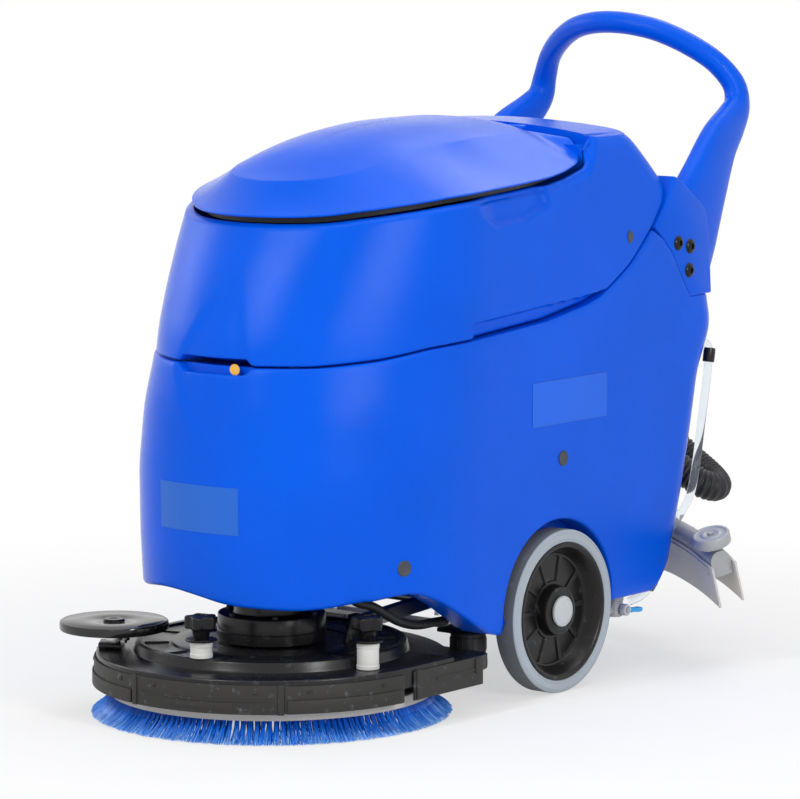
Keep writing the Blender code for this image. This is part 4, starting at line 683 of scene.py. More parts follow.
def lower_tank():
    """The solution tank: underside, outer skin, rim, and the batteries' bay, as one closed skin."""
    rear_shares = [0.02, 0.09, 0.18, TUNNEL_X / 0.2 - 0.002, TUNNEL_X / 0.2 + 0.004, 0.32, 0.45, 0.6, 0.75,
                   0.9]
    places = stations(96, tank_side_ys(), rear_shares)
    foot = settle(LOWER_SECTIONS, places, lower_foot)
    rim = settle(LOWER_SECTIONS, places, lower_rim)
    seam = settle(LOWER_SECTIONS, places, lower_top)
    lip, rim_lip, rows = 0.006, 0.004, 52
    flange = 0.043

    def outer(heights, inset):
        return ring_at(LOWER_SECTIONS, places, heights, inset, front_dish)

    base = outer(foot, flange)
    under = []
    for point in base:
        low = UNDERSIDE_Z if point.y > 0.26 else max(0.104, table_value(SIDE_FOOT, point.y))
        z = min(point.z, low) if point.y > 0.2 else point.z
        if abs(point.x) < TUNNEL_X and point.y > 0.6:
            z = TUNNEL_TOP
        under.append(Vector((point.x, point.y, z)))
    inner = []
    for point in under:
        if point.y > 0.33:
            side = math.copysign(TUNNEL_X + 0.003, point.x)
            x = point.x if abs(point.x) < TUNNEL_X else side
            inner.append(Vector((x, min(point.y, 0.6), point.z)))
        else:
            spread = ramp(point.y, 0.2, 0.33)
            x = point.x * (1 - spread) * 0.965 + math.copysign(TUNNEL_X + 0.003, point.x) * spread
            inner.append(Vector((x if point.y > 0.2 else point.x * 0.965,
                                 point.y + (0.006 if point.y < 0 else 0), point.z)))
    ceiling = [Vector((p.x, p.y, TUNNEL_TOP)) for p in inner]
    rings = [ceiling, inner, under, base]
    for k in range(6):
        a = math.radians(90 * k / 5)
        rings.append(outer([z + lip - lip * math.cos(a) for z in foot], lip - lip * math.sin(a)))
    for k in range(1, rows):
        share = k / rows
        rings.append(outer([f + lip + (t - rim_lip - f - lip) * share for f, t in zip(foot, rim)], 0.0))
    for k in range(5):
        a = math.radians(90 * k / 4)
        rings.append(outer([t - rim_lip + rim_lip * math.sin(a) for t in rim],
                           rim_lip - rim_lip * math.cos(a)))
    rings.append(outer(rim, 0.015))
    back = [Vector((p.x, p.y, max(p.z, s - 0.0005))) for p, s in zip(outer(rim, 0.017), seam)]
    rings.append(back)
    bay_x, bay_low, bay_high, corner = 0.176, 0.0, 0.56, 0.02
    bay = []
    for point in back:
        x = max(-bay_x, min(bay_x, point.x))
        bay.append(Vector((x, bay_low if point.y < bay_low + corner else min(point.y, bay_high), 0)))
    for k in range(1, 9):
        mixed = []
        for point, edge in zip(back, bay):
            spot = point.lerp(Vector((edge.x, edge.y, point.z)), k / 8)
            mixed.append(Vector((spot.x, spot.y, lower_top(spot.x, spot.y) - 0.0005)))
        rings.append(mixed)
    rings.append([Vector((p.x, p.y, BAY_FLOOR)) for p in bay])
    return ring_loft(rings)


def upper_foot(x, y):
    """The upper tank's lower edge, a gap above the seam and higher over the latch's mouth."""
    seam = smoothed(SEAM, y, 0.006) if y < 0.6 else table_value(SEAM, y)
    return seam + 0.0026 + (0.0085 * in_mouth(x) if y < 0.05 else 0.0)


RIM_DROP = 0.01
CHANNEL_DEPTH = [(-0.1, 0.004), (0.15, 0.0045), (0.2, 0.01), (0.4565, 0.011), (0.479, 0.006)]
BLOCK_Y = 0.486
BLOCK_TOP = 0.841
ROOF_DROP = 0.013  # how much lower the roof of the rear block is 200 mm out from the middle


def upper_rim(x, y):
    """The rim under the lid, and the roof of the block behind it."""
    if y > BLOCK_Y:
        return BLOCK_TOP - ROOF_DROP * (x / 0.2) ** 2
    return smoothed(LID_EDGE, y, 0.006) - RIM_DROP


def side_slot(y, z):
    """The finger slot along the upper tank's lower edge."""
    if y < 0.15 or y > 0.5:
        return 0.0
    top = table_value([(0.165, 0.573), (0.37, 0.586), (0.45, 0.592), (0.497, 0.598)], y)
    ends = ramp(y, 0.16, 0.17) * (1 - ramp(y, 0.48, 0.498))
    return 0.013 * ends * (1 - ramp(z, top - 0.004, top + 0.0005))


def rim_scoop(y, z):
    """The finger hollow under the lid's edge."""
    if y < 0.17 or y > 0.36:
        return 0.0
    low = table_value([(0.18, 0.728), (0.225, 0.704), (0.29, 0.708), (0.35, 0.728)], y)
    ends = ramp(y, 0.18, 0.225) * (1 - ramp(y, 0.338, 0.348))
    return 0.009 * ends * ramp(z, low, low + 0.012)


def rim_channel(y, z):
    """The stepped-in band just under the lid."""
    if y > BLOCK_Y:
        return 0.0
    low = smoothed(LID_EDGE, y, 0.006) - RIM_DROP - table_value(CHANNEL_DEPTH, y)
    return 0.0045 * ramp(z, low, low + 0.003)


def upper_push(x, y, z):
    """How far the upper tank's skin is pressed in at a point."""
    inset = front_dish(x, y, z) + rim_channel(y, z)
    if abs(x) > 0.2 and y > 0.14:
        inset += side_slot(y, z) + rim_scoop(y, z)
    return inset


def upper_tank():
    """The recovery tank: bottom, outer skin, rim, rear block and bowl, as one closed skin."""
    ys = [0.2 + 0.006 * i for i in range(1, 47)] + [0.4815, 0.4855, 0.4866, 0.492]
    ys += [0.5 + 0.011 * i for i in range(10)]
    ys = [y for y in ys if y < PEAK_Y - 0.003] + [PEAK_Y]
    places = stations(110, ys, [0.03, 0.15, 0.3, 0.45, 0.6, 0.75, 0.9])
    foot = settle(UPPER_SECTIONS, places, upper_foot)
    rim = [min(z, BLOCK_TOP) for z in settle(UPPER_SECTIONS, places, upper_rim)]
    lip, rows = 0.0045, 60

    def outer(heights, inset):
        return ring_at(UPPER_SECTIONS, places, heights, inset, upper_push)

    rings = []
    bottom = outer(foot, 0.012)
    for share in (0.0, 0.35, 0.7):
        ring = []
        for point in bottom:
            y = 0.02 + (point.y - 0.02) * (1 if point.y > 0.02 else 0.5 + 0.5 * share)
            ring.append(Vector((point.x * share, y, upper_foot(point.x * share + 0.2, point.y) + 0.0005)))
        rings.append(ring)
    rings.append(bottom)
    for k in range(5):
        a = math.radians(90 * k / 4)
        rings.append(outer([z + lip - lip * math.cos(a) for z in foot], lip - lip * math.sin(a)))
    for k in range(1, rows):
        share = k / rows
        rings.append(outer([f + lip + (t - 0.003 - f - lip) * share for f, t in zip(foot, rim)], 0.0))
    for k in range(4):
        a = math.radians(90 * k / 3)
        rings.append(outer([t - 0.003 + 0.003 * math.sin(a) for t in rim], 0.003 - 0.003 * math.cos(a)))
    top_ring = outer(rim, 0.006)
    rings.append(top_ring)
    bowl_rear_y, step_y, step_z = 0.462, 0.4866, 0.812
    first, second, third = [], [], []
    for point in top_ring:
        if point.y > BLOCK_Y:
            x = max(-0.205, min(0.205, point.x))
            first.append(Vector((x, step_y, point.z)))
            second.append(Vector((x, step_y, step_z)))
            third.append(Vector((x, bowl_rear_y, step_z)))
        else:
            rim_z = smoothed(LID_EDGE, min(point.y, 0.475), 0.006) - RIM_DROP
            first.append(point.copy())
            second.append(point.copy())
            third.append(Vector((point.x, min(point.y, bowl_rear_y), rim_z)))
    rings += [first, second, third]
    rings.append([Vector((p.x, p.y, 0.6)) for p in third])
    return ring_loft(rings)


place(lower_tank(), "lower_tank_shell", "chassis", TANK_BLUE, ["solution_tank"], smooth=44)
place(upper_tank(), "upper_tank_shell", "recovery_tank", TANK_BLUE, ["recovery_tank"],
      smooth=44)

# ======== Lid ========

LID_FRONT_Y, LID_REAR_Y, LID_HALF, LID_SQUARE = -0.0715, 0.478, 0.24, 1.8
LID_CENTRE_Y, LID_MEAN_RADIUS = 0.2, 0.22
LID_LIP = 0.003
LID_BRIM_POWER = 1.1  # above 1 the brim rises slowest at its edge
LID_DEPTH = 0.004  # the shell's thickness
CROWN_SHARE = [(-0.0715, 0.36), (-0.03, 0.27), (0.02, 0.36), (0.09, 0.46), (0.2, 0.47), (0.3, 0.42),
               (0.478, 0.4)]
CROWN_FOOT = [(-0.04, 0.773), (-0.01, 0.778), (0.004, 0.78), (0.127, 0.807), (0.29, 0.829), (0.4, 0.833),
              (0.515, 0.834)]
LID_TOP = [
    (-0.08, 0.76), (-0.01, 0.786), (0.027, 0.8), (0.08, 0.8195), (0.13, 0.833), (0.176, 0.842),
    (0.24, 0.8485), (0.3, 0.851), (0.4, 0.8515), (0.473, 0.8505), (0.6, 0.849),
]
LID_STEPS = [0.01, 0.03, 0.07, 0.12, 0.18, 0.26, 0.35, 0.45, 0.55, 0.65, 0.75, 0.84, 0.91, 0.96, 0.99, 1.01,
             1.04, 1.09, 1.16, 1.25, 1.36, 1.48, 1.6, 1.72, 1.83, 1.91, 1.96, 1.993]
LID_EDGE_STEPS = [(0.003, 0.0004), (0.0016, 0.0), (0.0006, 0.0004), (0.0, 0.0014),
                  (0.0, 0.0024)]  # inset and lift


def lid_edge_points():
    """The lid's outline seen from above, from its left side round the front to the rear and back."""
    points = []
    for i in range(97):
        points.append(front_curve(math.pi * i / 96, LID_HALF, LID_FRONT_Y, LID_SQUARE))
    side = [(-LID_HALF, FRONT_CURVE_END_Y + 0.0095 * i) for i in range(1, 24)]
    corner = []
    for i in range(1, 13):
        a = math.radians(90 * i / 12)
        corner.append((-(LID_HALF - CORNER + CORNER * math.cos(a)),
                       LID_REAR_Y - CORNER + CORNER * math.sin(a)))
    rear = [(-(LID_HALF - CORNER) * (1 - i / 8), LID_REAR_Y) for i in range(1, 8)]
    half = side + corner + rear
    points += half + [(0.0, LID_REAR_Y)] + [(-x, y) for x, y in half[::-1]]
    tapered = []
    for x, y in points:
        tapered.append((x * (1 - 0.08 * max(0.0, (y - 0.3) / (LID_REAR_Y - 0.3)) ** 2), y))
    return tapered


def lid_point(x, y, step, drop=0.0):
    """A point on the lid's top: step 0 is its edge, 1 the raised crown's foot and 2 the spine."""
    crown = smoothed(CROWN_SHARE, y, 0.03)
    share = crown * step if step <= 1 else crown + (1 - crown) * (step - 1)
    spine_y = min(max(y, 0.1), 0.4)
    px = x * (1 - share)
    py = spine_y + (y - spine_y) * (1 - share)
    edge = smoothed(LID_EDGE, y, 0.006) + LID_LIP
    foot = max(smoothed(CROWN_FOOT, py, 0.02), edge)
    top = max(smoothed(LID_TOP, py, 0.02), foot + 0.002)
    if step <= 1:
        z = edge + (foot - edge) * step**LID_BRIM_POWER
    else:
        z = foot + (top - foot) * (1 - (2 - step) ** 2.3)
    return Vector((px, py, z - drop))


def edge_ring(edge, inset, lift, last_y=1.0, last_slope_y=1.0):
    """The lid's outline drawn in by inset, at its edge's height plus lift."""
    share = inset / LID_MEAN_RADIUS
    ring = []
    for x, y in edge:
        z = smoothed(LID_EDGE, min(y, last_slope_y), 0.006) + lift
        ring.append(Vector((x * (1 - share), min(y + (LID_CENTRE_Y - y) * share, last_y), z)))
    return ring


def lid_cover():
    """The lid's shell: its underside, its edge and its crowned top."""
    edge = lid_edge_points()
    rings = [[lid_point(x, y, step, LID_DEPTH) for x, y in edge] for step in LID_STEPS[:4:-1]]
    rings += [edge_ring(edge, inset, lift) for inset, lift in [(0.0055, 0.0008), *LID_EDGE_STEPS]]
    rings += [[lid_point(x, y, step) for x, y in edge] for step in LID_STEPS]
    return ring_loft(rings)


def rim_seal():
    """The black seal on the tank's rim, which fills the gap under the lid's edge."""
    edge = lid_edge_points()
    section = [(0.03, -0.0005), (0.018, -0.0005), (0.016, -0.0015), (0.016, -0.0085), (0.018, -0.0096),
               (0.03, -0.0096)]
    return ring_loft([edge_ring(edge, inset, lift, 0.4615, 0.462) for inset, lift in section], closed=True)


def lid_knuckles():
    """The two hinge knuckles at the lid's rear."""
    made = []
    for side in (-1, 1):
        x = side * 0.085
        made.append(block((x - 0.014, 0.47, 0.818), (x + 0.014, 0.5015, 0.8365), 0.004))
    return made


place(joined(lid_cover(), *lid_knuckles()), "lid_cover", "lid", TANK_BLUE, ["lid"], smooth=40)
place(rim_seal(), "rim_seal", "recovery_tank", SOFT_BLACK, ["tank_gasket"], smooth=40)

# ======== Handle ========

HANDLE_STATIONS = [
    (0.2275, 0.69, 0.56, 0.0222, 0.086), (0.2275, 0.69, 0.604, 0.0222, 0.082),
    (0.226, 0.735, 0.672, 0.022, 0.07), (0.219, 0.786, 0.736, 0.021, 0.053),
    (0.208, 0.838, 0.791, 0.02, 0.04), (0.199, 0.885, 0.824, 0.0192, 0.0315),
    (0.193, 0.912, 0.85, 0.0186, 0.025), (0.185, 0.914, 0.883, 0.018, 0.02),
    (0.162, 0.897, 0.917, 0.0175, 0.0175), (0.127, 0.876, 0.944, 0.0175, 0.0175),
    (0.084, 0.856, 0.965, 0.0175, 0.0175), (0.042, 0.844, 0.975, 0.0175, 0.0175),
    (0.0, 0.84, 0.978, 0.0175, 0.0175),
]


def handle_loop():
    """The bent tube: flat and wide at its feet, round at its grip."""
    right = [(-x, *rest) for x, *rest in HANDLE_STATIONS[:-1]]
    listed = HANDLE_STATIONS + right[::-1]
    centres = curve_through([row[:3] for row in listed], 6)
    sizes = curve_through([(row[3], row[4], 0) for row in listed], 6)
    rings = []
    for (centre, side, other), (wide, deep, _) in zip(path_frames(centres, Vector((1, 0, 0))), sizes):
        flat = ramp(deep / wide, 1.05, 2.2)
        power = 1.0 - 0.3 * flat
        ring = []
        for k in range(40):
            a = math.tau * k / 40
            c, s = signed_power(math.cos(a), power), signed_power(math.sin(a), power)
            crease = 1.0 - 0.1 * flat * max(0.0, abs(c) - 0.75) * (1 if abs(s) > 0.35 else 0.0)
            ring.append(centre + side * wide * c * crease + other * deep * s)
        rings.append(ring)
    return ring_loft(rings)


def handle_base():
    """The base that wraps the tank's rear corners: two side pads and the bridge between them."""
    made = []
    seam_side = [(y + 0.0007, z) for y, z in SEAM if 0.605 < y < 0.67]
    base = [p for p in BASE_LINE if 0.61 < p[0] < 0.71]
    for side in (-1, 1):
        low, high = sorted((side * 0.2058, side * 0.25))
        outline = base + [(0.764, 0.5684), (0.76, 0.62), (0.756, 0.66), (0.748, 0.7),
                          (0.69, 0.742)] + seam_side[::-1]
        made.append(plate(outline, low, high, 0.0035, axis="X", segments=3))
    made.append(block((-0.2056, 0.712, 0.5684), (0.2056, 0.76, 0.735), 0.01, segments=4))
    for side in (-1, 1):
        low, high = sorted((side * 0.128, side * 0.142))
        ear = [(0.691, 0.722), (0.733, 0.702), (0.733, 0.735), (0.715, 0.774), (0.691, 0.774)]
        made.append(plate(ear, low, high, 0.0025, axis="X"))
    return made


def below_base():
    """The block that trims the handle's feet along the base line."""
    line = [(0.54, 0.7), *BASE_LINE[:-1], (0.9, 0.5684), (0.9, 0.3), (0.54, 0.3)]
    return plate(line, -0.4, 0.4, 0, axis="X")


handle_piece = cut_with(handle_loop(), below_base())
place(joined(handle_piece, *handle_base()), "handle_loop", "chassis", TANK_BLUE, ["handle"],
      smooth=40)


def base_screw(y, z):
    """A domed black screw with a ring and a socket, on the handle's base."""
    profile = [(0.0, 0.0018), (0.0042, 0.0018), (0.0046, 0.0044), (0.0066, 0.0042), (0.0095, 0.0026),
               (0.0112, 0.0006), (0.0115, 0.0)]
    return turned(profile, (0.2502, y, z), "X", 36)


for number, (screw_y, screw_z) in enumerate([(0.672, 0.652), (0.704, 0.645), (0.702, 0.608)], 1):
    screw = base_screw(screw_y, screw_z)
    for one, side in ((screw, "left"), (mirrored(screw), "right")):
        place(one, f"base_screw_{side}_{number}", "chassis", SATIN_BLACK, [f"handle_screw_{side}_{number}"],
              smooth=50)

# ======== Control panel, key and buttons ========

PANEL_BACK, BUTTON_X, KEY_X, CONTROL_Z = 0.764, 0.03, 0.085, 0.69


def panel():
    """The rear board with its button holes, key hole, gauge and blank plate."""
    back = PANEL_BACK
    board = block((-0.1197, 0.7443, 0.6003), (0.1197, back, 0.7217), 0.004, finish=DECK_BLACK)
    button_xs = (-BUTTON_X, BUTTON_X)
    cutters = [turned([(0.012, -0.014), (0.012, 0.02)], (x, back, CONTROL_Z), "Y", 40) for x in button_xs]
    cutters.append(turned([(0.0096, -0.009), (0.0096, 0.02)], (KEY_X, back, CONTROL_Z), "Y", 40))
    cut_with(board, *cutters)
    rim = [(0.0125, 0), (0.0155, 0), (0.0155, 0.0014), (0.0148, 0.002), (0.0132, 0.002), (0.0125, 0.0014),
           (0.0125, 0)]
    rims = [turned(rim, (x, back, CONTROL_Z), "Y", 40, SATIN_BLACK) for x in button_xs]
    gauge = block((-0.092, back - 0.001, 0.616), (-0.018, back + 0.0028, 0.642), 0.0012, finish=SATIN_BLACK)
    face = block((-0.088, back, 0.62), (-0.022, back + 0.0032, 0.638), 0.0004, finish=GAUGE_FACE)
    lamps = [block((-0.082 + 0.013 * i, back + 0.002, 0.6255), (-0.075 + 0.013 * i, back + 0.0036, 0.6325),
                   0.0008, finish=BUTTON_GREEN if i else STICKER_YELLOW) for i in range(5)]
    frame_bar = block((0.02, back - 0.001, 0.616), (0.1, back + 0.0016, 0.642), 0.0012, finish=SATIN_BLACK)
    return joined(board, *rims, gauge, face, *lamps, frame_bar)


place(panel(), "panel_board", "chassis", None, ["control_panel"], smooth=35)
BUTTONS = [("brush_button", BUTTON_X, BUTTON_GREEN, "button_green"),
           ("vacuum_button", -BUTTON_X, BUTTON_BLUE, "button_blue")]
for button_name, button_x, button_finish, button_slot in BUTTONS:
    cap = turned([(0.011, -0.004), (0.0112, 0.0028), (0.0106, 0.0042), (0.0094, 0.0047), (0.0085, 0.004),
                  (0.003, 0.0034), (0.0, 0.0033)], (button_x, PANEL_BACK, CONTROL_Z), "Y", 40)
    place(cap, button_name + "_cap", button_name, button_finish, [button_name], smooth=40)


def key():
    """The key in its barrel."""
    barrel = turned([(0.0088, -0.007), (0.0088, 0.0028), (0.0082, 0.0036), (0.006, 0.0036), (0.0056, 0.0028),
                     (0.0, 0.0028)], (KEY_X, PANEL_BACK, CONTROL_Z), "Y", 40, STEEL)
    shank = block((0.0838, 0.7655, 0.6868), (0.0862, 0.78, 0.6932), 0.0004, finish=STEEL)
    bow = block((0.0832, 0.777, 0.6808), (0.0868, 0.7922, 0.6992), 0.0016, finish=SATIN_BLACK)
    return joined(barrel, shank, bow)


place(key(), "key_and_barrel", "key", None, ["key_switch"], smooth=35)

# ======== Wheels ========

WHEEL_AT = Vector((0.24, 0.369, 0.123))


def wheel_ring(profile):
    """A closed ring about the left wheel's axle, from a profile of (radius, distance out from its middle)."""
    turns = [math.tau * k / 120 for k in range(120)]
    rings = [[WHEEL_AT + Vector((out, radius * math.cos(a), radius * math.sin(a))) for a in turns]
             for radius, out in profile]
    return ring_loft(rings, closed=True)


def wheel_pieces():
    """The left wheel's tyre, hub and cap."""
    rim, out = 0.104, 0.123
    side_profile = [
        (rim, 0.0172), (rim + 0.0016, 0.0186), (rim + 0.0034, 0.0186), (rim + 0.004, 0.018),
        (rim + 0.0046, 0.0186), (0.115, 0.019), (0.1176, 0.019), (0.118, 0.0184), (0.1184, 0.019),
        (0.12, 0.0186), (0.1216, 0.0176), (0.1226, 0.0158), (out, 0.014),
    ]
    profile = side_profile + [(r, -h) for r, h in side_profile[::-1]]
    tyre = wheel_ring(profile)
    tyre.data.materials.append(TYRE_GREY)
    tyre.data.materials.append(TREAD_GREY)
    for face in tyre.data.polygons:
        if abs(face.normal.x) < 0.45 and (face.center - WHEEL_AT).yz.length > 0.1205:
            face.material_index = 1
    hub_profile = [
        (0.1036, 0.0176), (0.103, 0.0186), (0.1004, 0.019), (0.0982, 0.0186), (0.0962, 0.0172),
        (0.0948, 0.015), (0.0905, 0.0072), (0.0868, -0.002), (0.0846, -0.005), (0.082, -0.0056),
        (0.06, -0.0046), (0.043, -0.0036), (0.0392, -0.003), (0.0378, 0.002), (0.037, 0.0112),
        (0.0362, 0.0126), (0.0346, 0.0132), (0.0318, 0.0132), (0.0306, 0.0124), (0.029, 0.0124),
        (0.0276, 0.0132), (0.0246, 0.0134), (0.0105, 0.0134), (0.0105, -0.0168), (0.1, -0.0168),
        (0.1036, -0.016),
    ]
    hub = wheel_ring(hub_profile)
    only(hub)
    bpy.ops.object.mode_set(mode="EDIT")
    mesh = bmesh.from_edit_mesh(hub.data)
    for face in mesh.faces:
        spot = face.calc_center_median() - WHEEL_AT
        reach = spot.yz.length
        turn = math.degrees(math.atan2(spot.z, spot.y)) % 36
        face.select = 0.044 < reach < 0.081 and 4 < turn < 32 and face.normal.x > 0.5
    bmesh.update_edit_mesh(hub.data)
    bpy.ops.mesh.inset(thickness=0.0012)
    bpy.ops.transform.translate(value=(-0.0024, 0, 0))
    bpy.ops.mesh.select_all(action="DESELECT")
    bpy.ops.object.mode_set(mode="OBJECT")
    paint(hub, HUB_BLACK)
    cap = turned([(0.0222, 0.0138), (0.023, 0.015), (0.023, 0.0176), (0.0222, 0.0188), (0.0205, 0.0192),
                  (0.0192, 0.0196), (0.0182, 0.0206), (0.015, 0.0214), (0.008, 0.022), (0.0, 0.0222)],
                  WHEEL_AT, "X", 56)
    return tyre, hub, cap


WHEEL_FINISHES = [("tyre", None, "tyre_grey"), ("wheel_hub", HUB_BLACK, "black_plastic"),
                  ("wheel_cap", CAP_GREY, "hub_grey")]
for part, (label, finish, slot_name) in zip(wheel_pieces(), WHEEL_FINISHES):
    for one, side in ((part, "left"), (mirrored(part), "right")):
        place(one, f"{label}_{side}_piece", f"wheel_{side}", finish, [f"{label}_{side}"],
              smooth=32)

# ======== Deck, skirt, motor and brush ========

DECK_RADIUS, DECK_SHOULDER_Y = 0.2565, 0.196


def arc_line(start, end, radius=DECK_RADIUS, steps=40):
    """Points round the deck, by the angle in degrees from +X towards the front."""
    line = []
    for i in range(steps + 1):
        a = math.radians(start + (end - start) * i / steps)
        line.append((radius * math.cos(a), -radius * math.sin(a)))
    return line


def deck_line(radius, shoulder_y):
    """The deck's outline: a circle whose front half carries on as straight sides back to two shoulders."""
    front = arc_line(0, 180, radius, 90)
    start = math.degrees(math.asin(shoulder_y / radius))
    rear = arc_line(start - 180, -start, radius, 30)
    left = [(radius, shoulder_y - 0.018), (radius - 0.004, shoulder_y - 0.006), (radius - 0.018, shoulder_y)]
    return front + [(-x, y) for x, y in left] + rear + left[::-1]


def deck():
    """The deck's cover: its rim, its raised ribbed disc and the link's ears."""
    body = plate(deck_line(DECK_RADIUS, DECK_SHOULDER_Y), 0.0625, 0.092, 0.0025, segments=3)
    cut_with(body, block((-0.4, 0.105, 0.085), (0.4, 0.4, 0.4), 0))
    hollow = plate(deck_line(DECK_RADIUS - 0.004, DECK_SHOULDER_Y - 0.004), 0.04, 0.081, 0)
    cut_with(body, hollow, turned([(0.015, 0.05), (0.015, 0.13)], sides=32))
    disc = turned([(0.015, 0.084), (0.202, 0.084), (0.202, 0.093), (0.2012, 0.0942), (0.1985, 0.104),
                   (0.1975, 0.106), (0.1955, 0.107), (0.1905, 0.107), (0.189, 0.1064), (0.1875, 0.104),
                   (0.186, 0.103), (0.15, 0.103), (0.148, 0.1036), (0.1465, 0.105), (0.144, 0.1056),
                   (0.115, 0.1056), (0.113, 0.105), (0.112, 0.104), (0.015, 0.104), (0.015, 0.084)],
                  sides=128)
    ribs = round_ribs(12, (0.15, -0.0016, 0.1), (0.186, 0.0016, 0.105), 0.0007, start=0.5)
    ears = []
    for side in (-1, 1):
        low, high = sorted((side * 0.1107, side * 0.1027))
        ears.append(plate([(0.035, 0.092), (0.085, 0.092), (0.07, 0.146), (0.05, 0.146)], low, high, 0.0015,
                          axis="X"))
        ears.append(turned([(0.0, -0.013), (0.006, -0.013), (0.006, 0.0128), (0.0, 0.0128)],
                           (side * 0.12, 0.06, 0.135), "X", 24))
    return joined(body, disc, *ribs, *ears)


place(deck(), "deck_cover", "deck", DECK_BLACK, ["deck_housing"], smooth=34)


def skirt_run(line, low, high, thickness=0.003, offset=0.0003):
    """A strip of skirt standing outside part of the deck's outline."""
    rings = []
    for i, (x, y) in enumerate(line):
        before, after = Vector(line[max(i - 1, 0)]), Vector(line[min(i + 1, len(line) - 1)])
        along = (after - before).normalized()
        out = Vector((along.y, -along.x))
        if out.dot(Vector((x, y - 0.05))) < 0:
            out = -out
        inner = Vector((x, y)) + out * offset
        outer = inner + out * thickness
        rings.append([Vector((*inner, low)), Vector((*outer, low)), Vector((*outer, high)),
                      Vector((*inner, high))])
    return bevelled(ring_loft(rings), 0.0008, 2)


def on_skirt(angle):
    """A point on the skirt's outer face, by its angle in degrees."""
    return arc_line(angle, angle, DECK_RADIUS + 0.003, 1)[0]


def skirt():
    """The strips round the deck, with their overlaps, posts, clips and screws."""
    side_left = [(DECK_RADIUS, 0.17 - 0.0085 * i) for i in range(20)]
    pieces = [
        skirt_run(arc_line(3, 46), 0.0445, 0.084), skirt_run(arc_line(47, 98), 0.0435, 0.0855, 0.0028),
        skirt_run(arc_line(99, 150), 0.0445, 0.084), skirt_run(arc_line(151, 180), 0.0445, 0.084),
        skirt_run(arc_line(100, 149), 0.0445, 0.064, 0.0026, 0.0034),
        skirt_run(arc_line(4, 45), 0.0445, 0.064, 0.0026, 0.0034),
        skirt_run(arc_line(50, 96), 0.062, 0.065, 0.001, 0.003),
        skirt_run(arc_line(62, 86), 0.05, 0.06, 0.0008, 0.003), skirt_run(side_left, 0.0435, 0.0855, 0.003),
        skirt_run([(-x, y) for x, y in side_left], 0.0435, 0.0855, 0.003),
        skirt_run(side_left[2:14], 0.066, 0.07, 0.0012, 0.0032),
        skirt_run([(-x, y) for x, y in side_left[2:14]], 0.066, 0.07, 0.0012, 0.0032),
    ]
    rear_start = math.degrees(math.asin(DECK_SHOULDER_Y / DECK_RADIUS))
    rear = arc_line(-rear_start, rear_start - 180, steps=24)
    pieces.append(skirt_run(rear, 0.0435, 0.08, 0.003))
    post = block((-0.0045, -0.0012, 0.043), (0.0045, 0.0018, 0.0862), 0.0008)
    for angle in (47, 98.5, 150.5):
        pieces.append(copy_of(post, (*on_skirt(angle), 0), math.radians(90 - angle) + math.pi))
    bpy.data.objects.remove(post, do_unlink=True)
    for side in (-1, 1):
        low, high = sorted((side * (DECK_RADIUS + 0.0005), side * (DECK_RADIUS + 0.006)))
        pieces.append(block((low, 0.012, 0.044), (high, 0.022, 0.087), 0.001))
        pieces.append(block((low, 0.15, 0.062), (high, 0.166, 0.084), 0.0012))
    screws = []
    for angle in (12, 38, 55, 90, 106, 142, 160):
        screws.append(turned([(0.0034, -0.002), (0.0034, 0.0012), (0.0026, 0.002), (0.0012, 0.002),
                              (0.001, 0.0012), (0.0, 0.0012)], (0, 0, 0), "X", 16))
        screws[-1].data.transform(Matrix.Rotation(-math.radians(angle), 4, "Z"))
        screws[-1].data.transform(Matrix.Translation((*on_skirt(angle), 0.076)))
    return joined(*pieces, *screws)


place(skirt(), "skirt_strips", "deck", SKIRT_BLACK, ["splash_skirt"], smooth=34)


def motor():
    """The brush motor's can with its ribs, bolts and shaft."""
    can = turned([(0.012, 0.1074), (0.08, 0.1074), (0.08, 0.122), (0.079, 0.1232), (0.079, 0.144),
                  (0.078, 0.1458), (0.056, 0.147), (0.055, 0.149), (0.055, 0.16), (0.054, 0.1612),
                  (0.054, 0.1625), (0.055, 0.1637), (0.055, 0.193), (0.053, 0.199), (0.048, 0.2046),
                  (0.0, 0.2048)], sides=72)
    ribs = round_ribs(18, (0.0535, -0.0013, 0.166), (0.0562, 0.0013, 0.19), 0.0006)
    bolts = []
    for i in range(6):
        a = math.tau * (i + 0.25) / 6
        bolts.append(turned([(0.0052, 0.145), (0.0052, 0.1492), (0.0044, 0.15), (0.0022, 0.15),
                             (0.002, 0.1484), (0.0, 0.1484)],
                            (0.068 * math.cos(a), 0.068 * math.sin(a), 0), "Z", 12))
    shaft = turned([(0.012, 0.0665), (0.012, 0.1075)], sides=32)
    return joined(can, *ribs, *bolts, shaft)


place(motor(), "motor_can", "deck", DECK_BLACK, ["brush_motor"], smooth=34)


def spacer(x, y, base):
    """A white spacer with its steel stud and two small screws."""
    body = turned([(0.015, base), (0.0165, base + 0.0008), (0.0165, base + 0.006), (0.0158, base + 0.0068),
                   (0.0158, 0.123), (0.0165, 0.124), (0.0165, 0.13), (0.0155, 0.131), (0.0, 0.131)],
                   (x, y, 0), "Z", 48, SPACER_WHITE)
    stud = turned([(0.0054, 0.13), (0.0055, 0.132), (0.005, 0.1328), (0.0055, 0.1336), (0.005, 0.1344),
                   (0.0055, 0.1352), (0.005, 0.136), (0.0055, 0.1368), (0.005, 0.1376), (0.0055, 0.1384),
                   (0.0055, 0.16), (0.0048, 0.1608), (0.0, 0.1608)], (x, y, 0), "Z", 24, STEEL)
    screws = [turned([(0.003, 0.1305), (0.003, 0.1322), (0.002, 0.1328), (0.0, 0.1328)], (x + dx, y + dy, 0),
                     "Z", 14, STEEL) for dx, dy in ((-0.0105, 0.004), (0.0105, -0.004))]
    return joined(body, stud, *screws)


